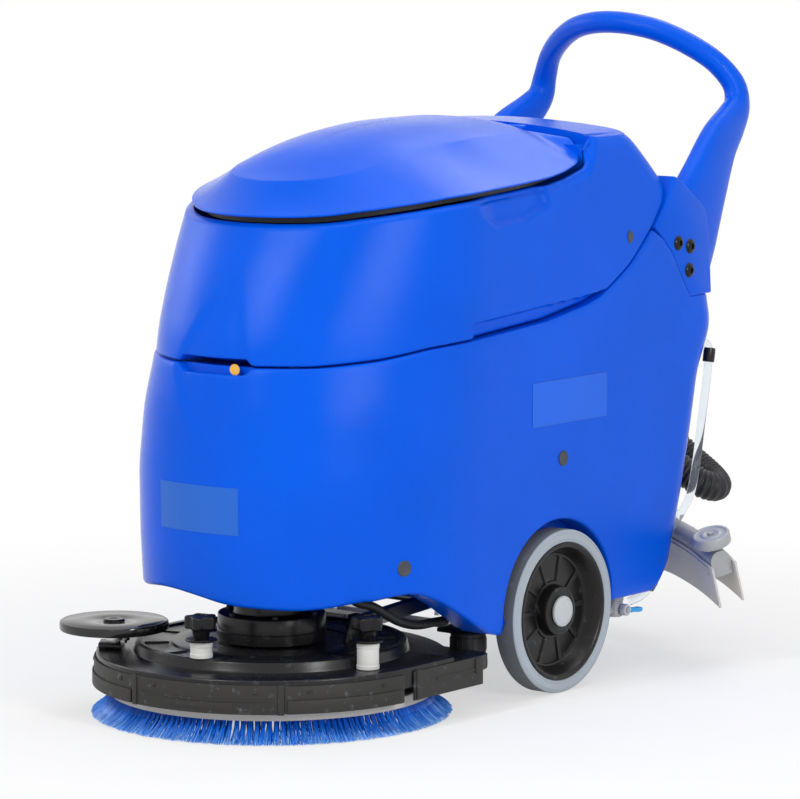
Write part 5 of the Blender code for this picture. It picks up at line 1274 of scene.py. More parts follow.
def knob(x, y):
    """A five-lobed hand knob over a collar and a washer."""
    low, high = 0.149, 0.169
    lobes = plate(lobed_outline(x, y, 0.0205, 0.0034, 5, 120), low, high - 0.001, 0.003, segments=4)
    crown = turned([(0.014, high - 0.004), (0.0135, high - 0.0006), (0.012, high), (0.008, high),
                    (0.0072, high - 0.001), (0.0, high - 0.001)], (x, y, 0), "Z", 36)
    collar = turned([(0.0112, 0.1345), (0.0115, 0.1355), (0.0125, 0.145), (0.015, 0.149), (0.0056, 0.149),
                     (0.0056, 0.1345), (0.0112, 0.1345)], (x, y, 0), "Z", 36)
    washer = turned([(0.0058, 0.1316), (0.022, 0.1316), (0.0225, 0.1322), (0.0225, 0.1338), (0.0218, 0.1346),
                     (0.0058, 0.1346), (0.0058, 0.1316)], (x, y, 0), "Z", 48)
    return joined(lobes, crown, collar, washer)


for side, (x, y) in {"right": (0.024, -0.184), "left": (0.215, -0.042)}.items():
    base = 0.1073 if math.hypot(x, y) < 0.196 else 0.0923
    place(spacer(x, y, base), f"spacer_{side}", "deck", None, [f"deck_spacer_{side}"],
          smooth=34)
    place(knob(x, y), f"hand_knob_{side}", f"deck_knob_{side}", SATIN_BLACK, [f"deck_knob_{side}"],
          smooth=40)

BUMPER_AT = (-0.186, -0.137)


def bumper():
    """The bumper roller's arm with its post and nuts."""
    x, y = BUMPER_AT
    out = Vector((x, y)).normalized()
    side = Vector((-out.y, out.x))
    near, far = Vector((x, y)) - out * 0.012, Vector((x, y)) + out * 0.022
    arm = plate([tuple(near + side * 0.03), tuple(near - side * 0.03), tuple(far - side * 0.018),
                 tuple(far + side * 0.018)], 0.0924, 0.1002, 0.0016, finish=DECK_BLACK)
    post = turned([(0.0118, 0.098), (0.012, 0.099), (0.012, 0.116), (0.0112, 0.1174), (0.005, 0.1174),
                   (0.005, 0.128), (0.0, 0.1284)], (x, y, 0), "Z", 40, STEEL)
    nuts = [turned([(0.0055, 0.0995), (0.0055, 0.104), (0.0046, 0.1048), (0.0, 0.1048)], (x + dx, y + dy, 0),
                   "Z", 6, STEEL) for dx, dy in ((0.018, 0.0), (0.006, 0.019))]
    return joined(arm, post, *nuts)


place(bumper(), "bumper_arm", "deck", None, ["bumper_bracket"], smooth=34)


def roller():
    """The bumper's disc and its cap."""
    x, y = BUMPER_AT
    wheel = turned([(0.0056, 0.1182), (0.0765, 0.1182), (0.079, 0.119), (0.08, 0.1206), (0.08, 0.1292),
                    (0.0794, 0.1308), (0.0778, 0.1318), (0.075, 0.132), (0.0744, 0.1316), (0.0738, 0.132),
                    (0.02, 0.1322), (0.019, 0.1316), (0.018, 0.1316), (0.0175, 0.132), (0.0, 0.132)],
                    (x, y, 0), "Z", 128, ROLLER_GLOSS)
    cap = turned([(0.015, 0.1312), (0.0155, 0.1322), (0.0155, 0.1334), (0.0148, 0.134), (0.006, 0.134),
                  (0.0054, 0.1334), (0.0, 0.1334)], (x, y, 0), "Z", 48, DECK_BLACK)
    return joined(wheel, cap)


place(roller(), "roller_disc", "bumper_roller", None, ["bumper_roller"], smooth=34)


def brush_back():
    """The ring that holds the bristles, with small ribs on top."""
    block_ring = turned([(0.105, 0.0304), (0.237, 0.0304), (0.238, 0.0316), (0.238, 0.0462), (0.2366, 0.0476),
                         (0.233, 0.048), (0.21, 0.048), (0.209, 0.0474), (0.106, 0.0474), (0.105, 0.0466),
                         (0.105, 0.0304)], sides=128)
    ribs = round_ribs(24, (0.215, -0.0012, 0.0475), (0.232, 0.0012, 0.0496), 0.0005)
    return joined(block_ring, *ribs)


place(brush_back(), "brush_back_ring", "brush", BLOCK_BEIGE, ["brush_block"], smooth=34)


def bristle_ring():
    """Thin three-sided strands in tufts, splayed outwards, each with its own tone, and darkened towards the
    root as painted shade.
    """
    shape = bmesh.new()
    shade = shape.verts.layers.float.new("strand_tone_and_root_shade")
    rows = [(0.2335, 160, 0.031, 20), (0.229, 150, 0.027, 14), (0.22, 120, 0.019, 8), (0.202, 90, 0.012, 5),
            (0.16, 70, 0.004, 4), (0.118, 60, -0.006, 4)]
    for radius, tufts, splay, strands in rows:
        for t in range(tufts):
            turn = math.tau * (t + 0.5 * (radius > 0.23)) / tufts
            tuft_lean = RNG.uniform(-0.0016, 0.0016)
            for _ in range(strands):
                a = turn + RNG.uniform(-0.01, 0.01)
                root = radius + RNG.uniform(-0.002, 0.001)
                reach = splay + RNG.uniform(-0.0045, 0.001) + tuft_lean
                swing = RNG.uniform(-0.022, 0.022)
                tone = RNG.uniform(0.3, 0.72)
                bright = RNG.random() < 0.22
                loops = []
                for share in (0.0, 0.35, 0.7, 1.0):
                    r = min(root + reach * share**1.5, 0.2648)
                    z = 0.0308 - (0.0304 - RNG.uniform(0.0, 0.0014) * (share == 1.0)) * share
                    at = a + swing * share**1.4
                    centre = Vector((r * math.cos(at), r * math.sin(at), z))
                    out = Vector((math.cos(at), math.sin(at), 0))
                    along = Vector((-out.y, out.x, 0))
                    thick = 0.00066 - 0.00014 * share
                    ring = []
                    for k in range(3):
                        b = math.tau * k / 3
                        vert = shape.verts.new(centre + out * thick * math.cos(b) + along * thick
                                               * math.sin(b))
                        # The value falls towards the root: painted shade under the brush block and inside the
                        # tufts; the random tone and the paler tips on some strands are the strands' own colour.
                        vert[shade] = min(1.0, tone * (0.35 + 0.65 * share) + (0.42 * share if bright
                            else 0.1 * share))
                        ring.append(vert)
                    loops.append(ring)
                for lower, upper in zip(loops, loops[1:]):
                    for k in range(3):
                        shape.faces.new((lower[k], upper[k], upper[(k + 1) % 3], lower[(k + 1) % 3]))
                shape.faces.new(loops[0])
                shape.faces.new(loops[-1][::-1])
    mesh = bpy.data.meshes.new("bristles")
    bmesh.ops.recalc_face_normals(shape, faces=shape.faces)
    shape.to_mesh(mesh)
    shape.free()
    made = bpy.data.objects.new("bristles", mesh)
    bpy.context.scene.collection.objects.link(made)
    return made


place(bristle_ring(), "bristle_tufts", "brush", BRISTLE_BLUE, ["brush_bristles"], smooth=0)

# ======== Solution filter, hose, drain and level tube ========


FILTER_AT = (0.178, 0.24)


def filter_piece():
    """The solution filter's ribbed body, neck, spigot and bracket."""
    x, y = FILTER_AT
    body = turned([(0.018, 0.0624), (0.0262, 0.0624), (0.027, 0.0634), (0.027, 0.07), (0.0262, 0.071),
                   (0.0262, 0.0726), (0.027, 0.0736), (0.027, 0.095), (0.0262, 0.096), (0.0262, 0.0976),
                   (0.027, 0.0986), (0.027, 0.101), (0.025, 0.1034), (0.014, 0.104), (0.0, 0.104)], (x, y, 0),
                   "Z", 64)
    ribs = round_ribs(20, (0.0262, -0.0009, 0.0755), (0.0276, 0.0009, 0.0935), 0.0004, (x, y, 0))
    neck = turned([(0.0098, 0.0995), (0.01, 0.12), (0.0088, 0.1214), (0.0, 0.1214)], (x - 0.006, y, 0), "Z",
                  32)
    spigot = turned([(0.009, 0.0), (0.009, 0.016), (0.0066, 0.018), (0.0066, 0.041), (0.0, 0.0412)],
                    (x, 0.1992, 0.126), "Y", 32)
    tab = block((x - 0.05, y - 0.012, 0.0976), (x - 0.01, 0.2597, 0.1036), 0.0012)
    return joined(body, *ribs, neck, spigot, tab)


place(filter_piece(), "filter_housing", "chassis", SOFT_BLACK, ["filter_body"], smooth=34)


def filter_cup():
    """The filter's ribbed cap."""
    x, y = FILTER_AT
    cup = turned([(0.0, 0.0492), (0.0255, 0.0492), (0.0272, 0.05), (0.028, 0.0516), (0.028, 0.06),
                  (0.0272, 0.0613), (0.0, 0.0613)], (x, y, 0), "Z", 64)
    ribs = round_ribs(24, (0.0272, -0.0012, 0.0512), (0.029, 0.0012, 0.0604), 0.0005, (x, y, 0))
    return joined(cup, *ribs)


place(filter_cup(), "filter_cup", "filter_cap", DECK_BLACK, ["filter_cap"], smooth=34)

SOLUTION_HOSE = [
    (0.156, -0.02, 0.2612), (0.157, -0.018, 0.215), (0.162, -0.01, 0.182), (0.168, 0.03, 0.166),
    (0.173, 0.078, 0.14), (0.176, 0.118, 0.1285), (0.177, 0.16, 0.127), (0.178, 0.198, 0.126),
]
hose_path = curve_through(SOLUTION_HOSE, 10)
place(hose(hose_path, [0.0068] * len(hose_path), 24), "solution_line", "chassis", SOFT_BLACK,
      ["solution_hose"], smooth=50)


def hose_clamp(centre, along, radius, half=0.0045):
    """A band round a hose with its two ears and screw."""
    band = turned(sleeve(radius, radius + 0.0016, half, 0.0004, 0.0006), sides=40)
    ears = [block((radius, s - 0.0008, -half), (radius + 0.0075, s + 0.0008, half), 0.0005) for s in (-0.0016,
        0.0016)]
    bolt = turned([(0.0, -0.0045), (0.0017, -0.0045), (0.0017, 0.0035), (0.0028, 0.0035), (0.0028, 0.0055),
                   (0.0, 0.0055)], (radius + 0.0045, 0, 0), "Y", 14)
    return aimed(joined(band, *ears, bolt), along, centre)


place(hose_clamp((0.1765, 0.19, 0.1263), (0.001, 0.038, -0.001), 0.007), "solution_clamp", "chassis", STEEL,
      smooth=34)

LEVEL_TUBE = [
    (0.216, 0.756, 0.5), (0.232, 0.779, 0.484), (0.235, 0.7765, 0.45), (0.235, 0.764, 0.385),
    (0.235, 0.744, 0.29), (0.235, 0.728, 0.25), (0.234, 0.7, 0.222), (0.2315, 0.674, 0.2),
    (0.229, 0.666, 0.172), (0.225, 0.654, 0.138), (0.216, 0.636, 0.11), (0.205, 0.613, 0.099),
]
tube_path = curve_through(LEVEL_TUBE, 8)
place(hose(tube_path, [0.0065] * len(tube_path), 28), "level_pipe", "chassis", CLEAR_TUBE, ["level_tube"],
      smooth=50)


def tube_fittings():
    """The level tube's upper cap and plug, lower clamp and collar."""
    top = turned([(0.0068, -0.012), (0.0088, -0.012), (0.0094, -0.01), (0.0094, 0.006), (0.0086, 0.01),
                  (0.0068, 0.01), (0.0068, -0.012)], sides=36)
    aimed(top, (0.001, 0.006, 0.04), (0.2352, 0.7795, 0.47))
    plug = turned([(0.0086, -0.004), (0.0092, 0.0), (0.008, 0.016), (0.0068, 0.02), (0.0, 0.02)], sides=28)
    aimed(plug, (0.016, 0.023, -0.016), (0.217, 0.7575, 0.499))
    low = hose_clamp((0.2275, 0.661, 0.155), (0.004, 0.012, 0.034), 0.0068)
    collar = turned(sleeve(0.0068, 0.0106, 0.008, 0.0006, 0.002), sides=36)
    aimed(collar, (0.009, 0.018, 0.028), (0.2205, 0.645, 0.1235))
    return joined(top, plug, low, collar)


place(tube_fittings(), "level_pipe_fittings", "chassis", DECK_BLACK, smooth=34)


def drain():
    """The drain valve's body, mouth and stem."""
    body = turned([(0.011, 0.0802), (0.013, 0.0816), (0.013, 0.104), (0.014, 0.105), (0.014, 0.11),
                   (0.013, 0.111), (0.013, 0.1184), (0.0, 0.1186)], (0.2, 0.58, 0), "Z", 40)
    mouth = turned([(0.0, 0.0), (0.0086, 0.0), (0.009, 0.001), (0.009, 0.006), (0.0082, 0.0068),
                    (0.0082, 0.03), (0.0, 0.0302)], (0.2, 0.551, 0.092), "Y", 36)
    stem = turned([(0.0, 0.0), (0.0044, 0.0), (0.0044, 0.0215), (0.0, 0.0218)], (0.2052, 0.58, 0.092), "X",
                  24)
    return joined(body, mouth, stem)


place(drain(), "drain_fitting", "chassis", CAST_GREY, ["drain_valve"], smooth=34)


def drain_handle():
    """The drain's blue lever on its hub."""
    hub = turned([(0.005, -0.0048), (0.0086, -0.0048), (0.009, -0.004), (0.009, 0.004), (0.0084, 0.0048),
                  (0.005, 0.0048), (0.005, -0.0048)], (0.2205, 0.58, 0.092), "X", 36, CAP_GREY)
    blade = plate([(0.576, 0.0862), (0.6, 0.0858), (0.614, 0.084), (0.6222, 0.0846), (0.6222, 0.0906),
                   (0.614, 0.0925), (0.6, 0.093), (0.578, 0.096)], 0.2168, 0.2242, 0.0018,
                  axis="X", finish=LEVER_BLUE, segments=3)
    return joined(blade, hub)


place(drain_handle(), "drain_handle", "drain_lever", None, ["drain_lever"], smooth=40)

# ======== Squeegee ========


SQUEEGEE_Y, SQUEEGEE_HALF, SQUEEGEE_BOW = 0.77, 0.35, 0.128
BAR_DEPTH = 0.0265  # half the casting's depth in the middle
HANGER_Z = 0.0884
SPOUT_AXIS = Vector((0.5, 0.7, 0.51)).normalized()
SPOUT_FOOT = Vector((0, SQUEEGEE_Y, 0.124))


def squeegee_y(x):
    """The squeegee's middle line, bowed forwards towards its ends."""
    return SQUEEGEE_Y - SQUEEGEE_BOW * (x / SQUEEGEE_HALF) ** 2


def squeegee_depth(x):
    """How much of its depth the casting keeps away from the middle."""
    return 1.0 - 0.38 * min(1.0, abs(x) / 0.2)


def squeegee_bar(half_width, low, high, near, far, steps=56, shape=None):
    """A bar along the squeegee's curve; near and far are each a tapering and a fixed distance from it."""
    rings = []
    for i in range(steps + 1):
        x = -half_width + 2 * half_width * i / steps
        slope = -2 * SQUEEGEE_BOW * x / SQUEEGEE_HALF**2
        normal = Vector((-slope, 1.0)).normalized()
        centre = Vector((x, squeegee_y(x)))
        share = squeegee_depth(x)
        front = centre + normal * (near[0] * share + near[1])
        back = centre + normal * (far[0] * share + far[1])
        profile = shape or [(0, 0), (1, 0), (1, 1), (0, 1)]
        rings.append([Vector((*(front.lerp(back, u)), low + (high - low) * v)) for u, v in profile])
    return ring_loft(rings)


def squeegee_casting():
    """The curved casting with its ribs, straps and roller posts."""
    domed = [(0.02, 0.0), (0.98, 0.0), (1.0, 0.08), (1.0, 0.62), (0.93, 0.8), (0.8, 0.93), (0.62, 1.0),
             (0.38, 1.0), (0.2, 0.93), (0.07, 0.8), (0.0, 0.62), (0.0, 0.08)]
    body = squeegee_bar(0.34, 0.046, 0.0872, (-BAR_DEPTH, 0.0), (BAR_DEPTH, 0.0), shape=domed)
    cut_with(body, turned([(0.0203, -0.05), (0.0203, 0.2)], (0, SQUEEGEE_Y, 0.0), "Z", 48))
    extra = []
    for side in (-1, 1):
        x = side * 0.322
        extra.append(turned([(0.012, 0.08), (0.012, 0.089), (0.01, 0.0915), (0.005, 0.0918), (0.005, 0.112),
                             (0.0, 0.1124)], (x, squeegee_y(x), 0), "Z", 32))
        for k in (-0.3, -0.24, -0.18, -0.12, -0.06):
            rx = k * -side
            y = squeegee_y(rx)
            d = 0.0268 * squeegee_depth(rx)
            extra.append(block((rx - 0.0016, y - d, 0.048), (rx + 0.0016, y + d, 0.08), 0.0007))
    strap = squeegee_bar(0.336, 0.05, 0.064, (BAR_DEPTH, 0.0042), (BAR_DEPTH, 0.0056))
    front_strap = squeegee_bar(0.336, 0.05, 0.064, (-BAR_DEPTH, -0.0056), (-BAR_DEPTH, -0.0042))
    return joined(body, *extra, strap, front_strap)


place(squeegee_casting(), "squeegee_casting", "squeegee", CAST_GREY, ["squeegee_body"],
      raised=True, smooth=30)


def squeegee_top():
    """The hanger: a beam over the casting, the nozzle's ring and the knobs' studs."""
    low = HANGER_Z
    beam = squeegee_bar(0.201, low, low + 0.014, (-0.022, 0.0), (0.022, 0.0), 30, [(0.03, 0), (0.97, 0),
        (1, 0.1), (1, 0.7), (0.93, 0.92), (0.85, 1), (0.15, 1), (0.07, 0.92), (0, 0.7), (0, 0.1)])
    ring = turned([(0.0205, low), (0.0315, low), (0.032, low + 0.001), (0.032, low + 0.012),
                   (0.03, low + 0.0158), (0.023, low + 0.016), (0.0205, low + 0.015), (0.0205, low)],
                   (0, SQUEEGEE_Y, 0), "Z", 56)
    cut_with(beam, turned([(0.03, 0.0), (0.03, 0.2)], (0, SQUEEGEE_Y, 0), "Z", 48))
    studs = []
    for side in (-1, 1):
        x = side * 0.15
        studs.append(turned([(0.0075, low + 0.01), (0.0075, low + 0.0143), (0.005, low + 0.0146),
                             (0.005, low + 0.035), (0.0, low + 0.0356)], (x, squeegee_y(x), 0), "Z", 28))
        studs.append(block((x - 0.016, squeegee_y(x) - 0.003, low + 0.012), (x + 0.016, squeegee_y(x) + 0.003,
            low + 0.0146), 0.0008))
    return joined(beam, ring, *studs)


place(squeegee_top(), "squeegee_hanger", "squeegee", CAST_GREY, ["squeegee_bracket"],
      raised=True, smooth=30)
for blade_side, blade_name in ((-1, "squeegee_blade_front"), (1, "squeegee_blade_rear")):
    seat, outside = [(blade_side * BAR_DEPTH, blade_side * away) for away in (0.0007, 0.0042)]
    strip = squeegee_bar(SQUEEGEE_HALF, 0.0006, 0.068, *sorted((seat, outside)), steps=60)
    place(bevelled(strip, 0.0006, 2, 50), blade_name + "_strip", "squeegee", BLADE_TAN, [blade_name],
          raised=True, smooth=30)
for side, label in ((1, "left"), (-1, "right")):
    x = side * 0.15
    grip = plate(lobed_outline(x, squeegee_y(x), 0.0168, 0.0018, 8, 96), 0.1036, 0.1246, 0.0026, segments=4)
    dome = turned([(0.012, 0.1236), (0.0112, 0.1248), (0.007, 0.1254), (0.0, 0.1254)], (x, squeegee_y(x), 0),
                  "Z", 36)
    place(joined(grip, dome), f"squeegee_grip_{label}", f"squeegee_knob_{label}", SATIN_BLACK,
          [f"squeegee_knob_{label}"], raised=True, smooth=40)
    x = side * 0.322
    tyre = turned([(0.0056, 0.0927), (0.024, 0.0927), (0.0282, 0.0933), (0.029, 0.0946), (0.029, 0.1084),
                   (0.0282, 0.1097), (0.025, 0.1103), (0.0236, 0.1098), (0.0226, 0.1088), (0.017, 0.1086),
                   (0.016, 0.1096), (0.0145, 0.1102), (0.01, 0.1102), (0.0088, 0.1094), (0.0056, 0.1094),
                   (0.0056, 0.0927)], (x, squeegee_y(x), 0), "Z", 64)
    place(tyre, f"end_roller_{label}", f"guide_roller_{label}", CAST_GREY, [f"guide_roller_{label}"],
          raised=True, smooth=34)


def arm():
    """The suction arm: its pocketed beam, the nozzle and the hose's spout."""
    low = 0.1051
    (y0, z0), y1 = SQUEEGEE_PIVOT, SQUEEGEE_Y
    outline = [(y0 - 0.012, z0 - 0.008), (y0 - 0.006, z0 - 0.012), (y0 + 0.014, z0 - 0.012), (0.56, low),
               (y1 - 0.004, low), (y1 - 0.004, low + 0.014), (0.57, low + 0.014), (y0 + 0.014, z0 + 0.012),
               (y0 - 0.006, z0 + 0.012), (y0 - 0.012, z0 + 0.008)]
    beam = plate(outline, -0.024, 0.024, 0.003, axis="X", segments=3)
    pocket = plate([(0.43, 0.165), (0.56, low + 0.01), (0.72, low + 0.01), (0.72, low + 0.03),
                    (0.56, low + 0.03), (0.43, 0.2)], -0.017, 0.017, 0, axis="X")
    cut_with(beam, pocket, turned([(0.0063, -0.04), (0.0063, 0.04)], (0, y0, z0), "X", 32),
             turned([(0.0172, -0.05), (0.0172, 0.2)], (0, y1, 0), "Z", 40))
    nozzle = turned([(0.017, 0.05), (0.02, 0.05), (0.02, low), (0.029, low), (0.03, low + 0.001),
                     (0.03, low + 0.012), (0.0285, low + 0.014), (0.0215, low + 0.014), (0.02, low + 0.016),
                     (0.02, 0.13), (0.017, 0.134), (0.017, 0.05)], (0, y1, 0), "Z", 48)
    spout = turned([(0.017, -0.014), (0.0185, -0.014), (0.02, 0.004), (0.02, 0.03), (0.0208, 0.032),
                    (0.02, 0.034), (0.02, 0.038), (0.0208, 0.04), (0.02, 0.042), (0.02, 0.046),
                    (0.017, 0.046), (0.017, -0.014)], sides=40)
    aimed(spout, SPOUT_AXIS, SPOUT_FOOT)
    dome = turned([(0.0195, 0.122), (0.02, 0.13), (0.0188, 0.136), (0.015, 0.14), (0.008, 0.1424),
                   (0.0, 0.143)], (0, y1, 0), "Z", 40)
    return joined(beam, nozzle, spout, dome)


place(arm(), "suction_arm", "squeegee_arm", CAST_GREY, ["squeegee_arm"], raised=True,
      smooth=30)


def suction_hose():
    """The corrugated hose from the arm's spout to the tank, and the points along its middle."""
    start = [SQUEEGEE_RAISE @ (SPOUT_FOOT + SPOUT_AXIS * reach) for reach in (0.0466, 0.058, 0.07)]
    upper = [
        (0.082, 0.822, 0.31), (0.138, 0.826, 0.284), (0.18, 0.838, 0.256), (0.192, 0.866, 0.248),
        (0.16, 0.896, 0.258), (0.108, 0.9, 0.29), (0.055, 0.882, 0.34), (0.012, 0.87, 0.4),
        (-0.018, 0.856, 0.452), (-0.028, 0.826, 0.482), (-0.028, 0.798, 0.484), (-0.028, 0.7625, 0.484),
    ]
    coarse = curve_through([*start, *upper], 14)
    lengths = [0.0]
    for a, b in zip(coarse, coarse[1:]):
        lengths.append(lengths[-1] + (b - a).length)
    pitch, per = 0.0075, 6
    count = int(lengths[-1] / pitch) * per
    points, radii = [], []
    for i in range(count + 1):
        along = lengths[-1] * i / count
        k = min(max(j for j in range(len(lengths)) if lengths[j] <= along + 1e-9), len(coarse) - 2)
        points.append(coarse[k].lerp(coarse[k + 1], (along - lengths[k]) / (lengths[k + 1] - lengths[k])))
        cuff = along < 0.016 or along > lengths[-1] - 0.02
        wave = 0.5 - 0.5 * math.cos(math.tau * i / per)
        radii.append(0.0232 if cuff else 0.0208 + 0.0027 * wave**0.7)
    return hose(points, radii, 32), points


hose_piece, hose_points = suction_hose()
place(hose_piece, "suction_hose", None, SOFT_BLACK, ["vacuum_hose"], smooth=60)
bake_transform(hose_piece)

# ======== Foot pedal and squeegee lever ========


def pedal():
    """The deck's foot pedal with its ribbed tread."""
    y, z = 0.56, 0.107
    hub = turned(sleeve(0.0064, 0.011, 0.01, 0.0004, 0.001), (-0.185, y, z), "X", 36)
    bar = block((-0.192, y + 0.004, z - 0.004), (-0.178, y + 0.06, z + 0.004), 0.0012)
    tread = block((-0.273, y + 0.04, z - 0.006), (-0.171, y + 0.08, z + 0.004), 0.002)
    ribs = [block((-0.268, y + 0.045 + 0.0062 * i, z + 0.003), (-0.176, y + 0.0475 + 0.0062 * i, z + 0.006),
                  0.0007) for i in range(5)]
    return joined(hub, bar, tread, *ribs)


place(pedal(), "foot_pedal", "deck_pedal", DECK_BLACK, ["deck_pedal"], smooth=34)


def lift_handle():
    """The hand lever that lifts the squeegee."""
    x, y, z = -0.128, 0.8, 0.35
    hub = turned(sleeve(0.0063, 0.014, 0.008, 0.0008, 0.001), (x, y, z), "X", 40, DECK_BLACK)
    shank = plate([(y - 0.007, z + 0.008), (y + 0.01, z + 0.006), (y + 0.024, z + 0.07),
                   (y + 0.04, z + 0.135), (y + 0.03, z + 0.138), (y + 0.012, z + 0.078)], x - 0.005,
                   x + 0.005, 0.0014,
                  axis="X", finish=STEEL)
    grip = turned([(0.0085, 0.128), (0.0112, 0.13), (0.012, 0.134), (0.0114, 0.144), (0.012, 0.154),
                   (0.0116, 0.166), (0.009, 0.1712), (0.0, 0.172)], (x, y + 0.037, z), "Z", 40, SATIN_BLACK)
    return joined(hub, shank, grip)


place(lift_handle(), "squeegee_lift_handle", "lift_lever", None, ["lift_lever"], smooth=38)

# ======== Plugs and stickers on the tanks ========


def skin_point(x, z):
    """The point and the outward direction on the lower tank's curved front at x and z."""
    def depth(at):
        front, _, half, square = section_at(LOWER_SECTIONS, z)
        return FRONT_CURVE_END_Y - (1 - min(1.0,
                                            abs(at) / half) ** square) ** (1 / square) * (FRONT_CURVE_END_Y
                                                - front)

    y = depth(x)
    slope = (depth(x + 0.001) - depth(x - 0.001)) / 0.002
    return Vector((x, y, z)), Vector((slope, -1.0, 0)).normalized()


def front_label(x_low, x_high, z_low, z_high, finish, name):
    """A rounded sticker bent to the front's curve, a hair above it."""
    shape = bmesh.new()
    columns, rows = 24, 6
    grid = []
    for j in range(rows + 1):
        line = []
        for i in range(columns + 1):
            z = z_low + (z_high - z_low) * j / rows
            point, out = skin_point(x_low + (x_high - x_low) * i / columns, z)
            line.append(shape.verts.new(point + out * 0.0004))
        grid.append(line)
    for lower, upper in zip(grid, grid[1:]):
        for i in range(columns):
            shape.faces.new((lower[i], lower[i + 1], upper[i + 1], upper[i]))
    piece = from_bmesh(shape, recalculate=False)
    only(piece)
    thick = piece.modifiers.new("thick", "SOLIDIFY")
    thick.thickness = 0.0004
    thick.offset = 0
    bpy.ops.object.modifier_apply(modifier="thick")
    return place(piece, name, "chassis", finish, smooth=50)


front_label(-0.0735, 0.0725, 0.284, 0.352, LABEL_FRONT, "front_label_blank")


def side_label():
    """A flat sticker on the left side, with a thin border."""
    y0, z0, y1, z1, border = 0.3, 0.405, 0.487, 0.471, 0.0008
    back = block((0.25, y0, z0), (0.2506, y1, z1), 0.0002, finish=LABEL_SIDE, segments=1)
    edges = [(y0, z0, y1, z0 + border), (y0, z1 - border, y1, z1), (y0, z0, y0 + border, z1),
             (y1 - border, z0, y1, z1)]
    strips = [block((0.2502, a, b), (0.2508, c, d), 0.0002, finish=LABEL_FRONT, segments=1) for a, b, c,
              d in edges]
    return joined(back, *strips)


place(side_label(), "side_label_blank", "chassis", None, smooth=30)


def tank_plug(y, z):
    """A round plug on the left side, turned to the front's curve where it sits on that."""
    profile = [(0.0, -0.001), (0.0112, -0.001), (0.0116, 0.0004), (0.0112, 0.0014), (0.0098, 0.0018),
               (0.0092, 0.0012), (0.0078, 0.0008), (0.0, 0.001)]
    plug = turned(profile, (0, 0, 0), "X", 48)
    x = 0.25
    if y < 0.1:
        _, _, half, square = section_at(LOWER_SECTIONS, z)
        x = half * (1 - abs((FRONT_CURVE_END_Y - y) / (FRONT_CURVE_END_Y + 0.163)) ** square) ** (1 / square)
        plug.data.transform(Matrix.Rotation(-math.radians(20), 4, "Z"))
    plug.data.transform(Matrix.Translation((x, y, z)))
    return plug


for plug_number, (plug_y, plug_z) in enumerate([(0.377, 0.352), (0.022, 0.23)], 1):
    left = tank_plug(plug_y, plug_z)
    for one, side in ((left, "left"), (mirrored(left), "right")):
        place(one, f"tank_plug_{side}_{plug_number}", "chassis", PLUG_GREY, smooth=40)

yellow = turned([(0.008, -0.0003), (0.0082, 0.0), (0.008, 0.0003), (0.0, 0.0003)], (0, 0, 0), "Z", 48)
yellow.data.transform(Matrix.Rotation(math.radians(90), 4, "X"))
yellow.data.transform(Matrix.Rotation(math.radians(10), 4, "Z"))
yellow.data.transform(Matrix.Translation((0.046, -0.1335, 0.5175)))
place(yellow, "yellow_sticker", "chassis", STICKER_YELLOW, smooth=40)
oval = turned([(0.0, -0.001), (0.0095, -0.001), (0.01, 0.0006), (0.0092, 0.0014), (0.0, 0.0016)], (0, 0, 0),
              "X", 40)
oval.data.transform(Matrix.Scale(0.72, 4, (0, 1, 0)))
oval.data.transform(Matrix.Translation((0.2465, 0.55, 0.67)))
place(oval, "tank_plug_oval", "recovery_tank", PLUG_GREY, smooth=40)

# ======== Camera, lamps and floor ========


def background_rays(tree):
    """1 for camera, transmission and glossy rays, which see the background white."""
    rays = node(tree, "ShaderNodeLightPath").outputs
    most = {"operation": "MAXIMUM"}
    seen = node(tree, "ShaderNodeMath", most, i0=rays["Is Camera Ray"], i1=rays["Is Transmission Ray"])
    return node(tree, "ShaderNodeMath", most, i0=seen.outputs[0], i1=rays["Is Glossy Ray"]).outputs[0]


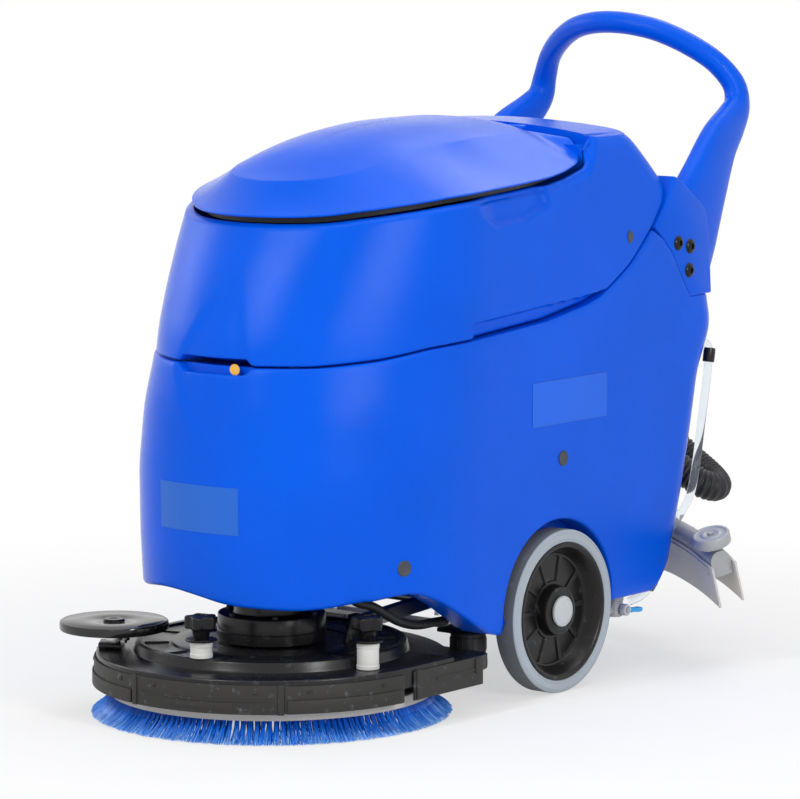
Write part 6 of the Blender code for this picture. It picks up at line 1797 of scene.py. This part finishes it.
def studio():
    """The camera, the lamps and the world."""
    camera = bpy.data.objects.new("camera", bpy.data.cameras.new("camera"))
    camera.location = (4.05, -4.79 + SHIFT_Y, 1.26)
    camera.rotation_euler = (math.radians(90 - 7.29), 0, math.radians(38.5))
    camera.data.sensor_width = 36
    camera.data.lens = 195.8
    bpy.context.scene.collection.objects.link(camera)
    bpy.context.scene.camera = camera
    lamps = [
        ("strip_front", (-0.16, -3.0, 2.65), (0.4, 1.3), 48, (0.0, -0.1, 0.5)),
        ("strip_right", (3.2, -0.95, 1.6), (0.35, 1.2), 40, (0.1, 0.1, 0.5)),
        ("overhead", (0.3, 0.4, 3.1), (2.4, 2.4), 24, (0.0, 0.1, 0.5)),
        ("rear_fill", (-0.45, 2.4, 2.85), (1.6, 1.0), 18, (0.0, 0.2, 0.5)),
        ("left_fill", (-3.0, -0.6, 1.6), (1.2, 1.2), 15, (0.0, 0.1, 0.5)),
    ]
    for name, spot, size, power, target in lamps:
        lamp = bpy.data.lights.new(name, "AREA")
        lamp.shape = "RECTANGLE"
        lamp.size, lamp.size_y = size
        lamp.energy = power
        holder = bpy.data.objects.new(name, lamp)
        holder.location = spot
        holder.rotation_euler = (Vector(target) - Vector(spot)).to_track_quat("-Z", "Y").to_euler()
        bpy.context.scene.collection.objects.link(holder)
    world = bpy.data.worlds.new("studio")
    world.use_nodes = True
    bpy.context.scene.world = world
    tree = world.node_tree
    level = node(tree, "ShaderNodeMapRange", Value=background_rays(tree), To_Min=0.42, To_Max=1.0)
    back = tree.nodes["Background"]
    back.inputs["Color"].default_value = (1, 1, 1, 1)
    tree.links.new(level.outputs["Result"], back.inputs["Strength"])
    bpy.context.scene.view_settings.view_transform = "Standard"


def floor():
    """A pale floor that goes over into white further out."""
    clear_selection()
    bpy.ops.mesh.primitive_plane_add(size=120, location=(0, 0, 0))
    sheet = bpy.context.object
    sheet.name = "floor"
    made, tree, shader = new_material("floor_white")
    tree.nodes.remove(shader)
    spot = node(tree, "ShaderNodeTexCoord").outputs["Object"]
    distance = node(tree, "ShaderNodeVectorMath", {"operation": "LENGTH"}, i0=spot)
    far = node(tree, "ShaderNodeMapRange", {"interpolation_type": "SMOOTHSTEP"},
               Value=distance.outputs["Value"], From_Min=0.6, From_Max=1.6, To_Min=0.55, To_Max=1.0)
    share = node(tree, "ShaderNodeMath", {"operation": "MULTIPLY"}, i0=far.outputs["Result"],
                 i1=background_rays(tree))
    grain = node(tree, "ShaderNodeTexNoise", Vector=spot, Scale=8.0)
    tone = node(tree, "ShaderNodeMapRange", Value=grain.outputs["Fac"], To_Min=0.86, To_Max=0.9)
    matt = node(tree, "ShaderNodeBsdfDiffuse")
    tree.links.new(tone.outputs["Result"], matt.inputs["Color"])
    glow = node(tree, "ShaderNodeEmission", Color=(1, 1, 1, 1), Strength=1.0)
    mix = node(tree, "ShaderNodeMixShader", i0=share.outputs[0])
    tree.links.new(matt.outputs[0], mix.inputs[1])
    tree.links.new(glow.outputs[0], mix.inputs[2])
    tree.links.new(mix.outputs[0], tree.nodes["Material Output"].inputs["Surface"])
    sheet.data.materials.append(made)


floor()
studio()

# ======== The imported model's own pieces, and the closing lines ========

KEPT_FINISHES = {
    "chassis_frame": STEEL, "battery_front": BATTERY_DARK, "battery_rear": BATTERY_DARK,
    "tank_hinge_pin": STEEL,
    "lid_hinge_pin": STEEL, "deck_linkage": STEEL, "float_ball": SPACER_WHITE,
}
for kept_name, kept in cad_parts.items():
    if kept.hide_render:
        continue
    finish_for = KEPT_FINISHES.get(kept_name, DECK_BLACK)
    if not kept.material_slots:
        kept.data.materials.append(None)
    for material_slot in kept.material_slots:
        material_slot.material = finish_for
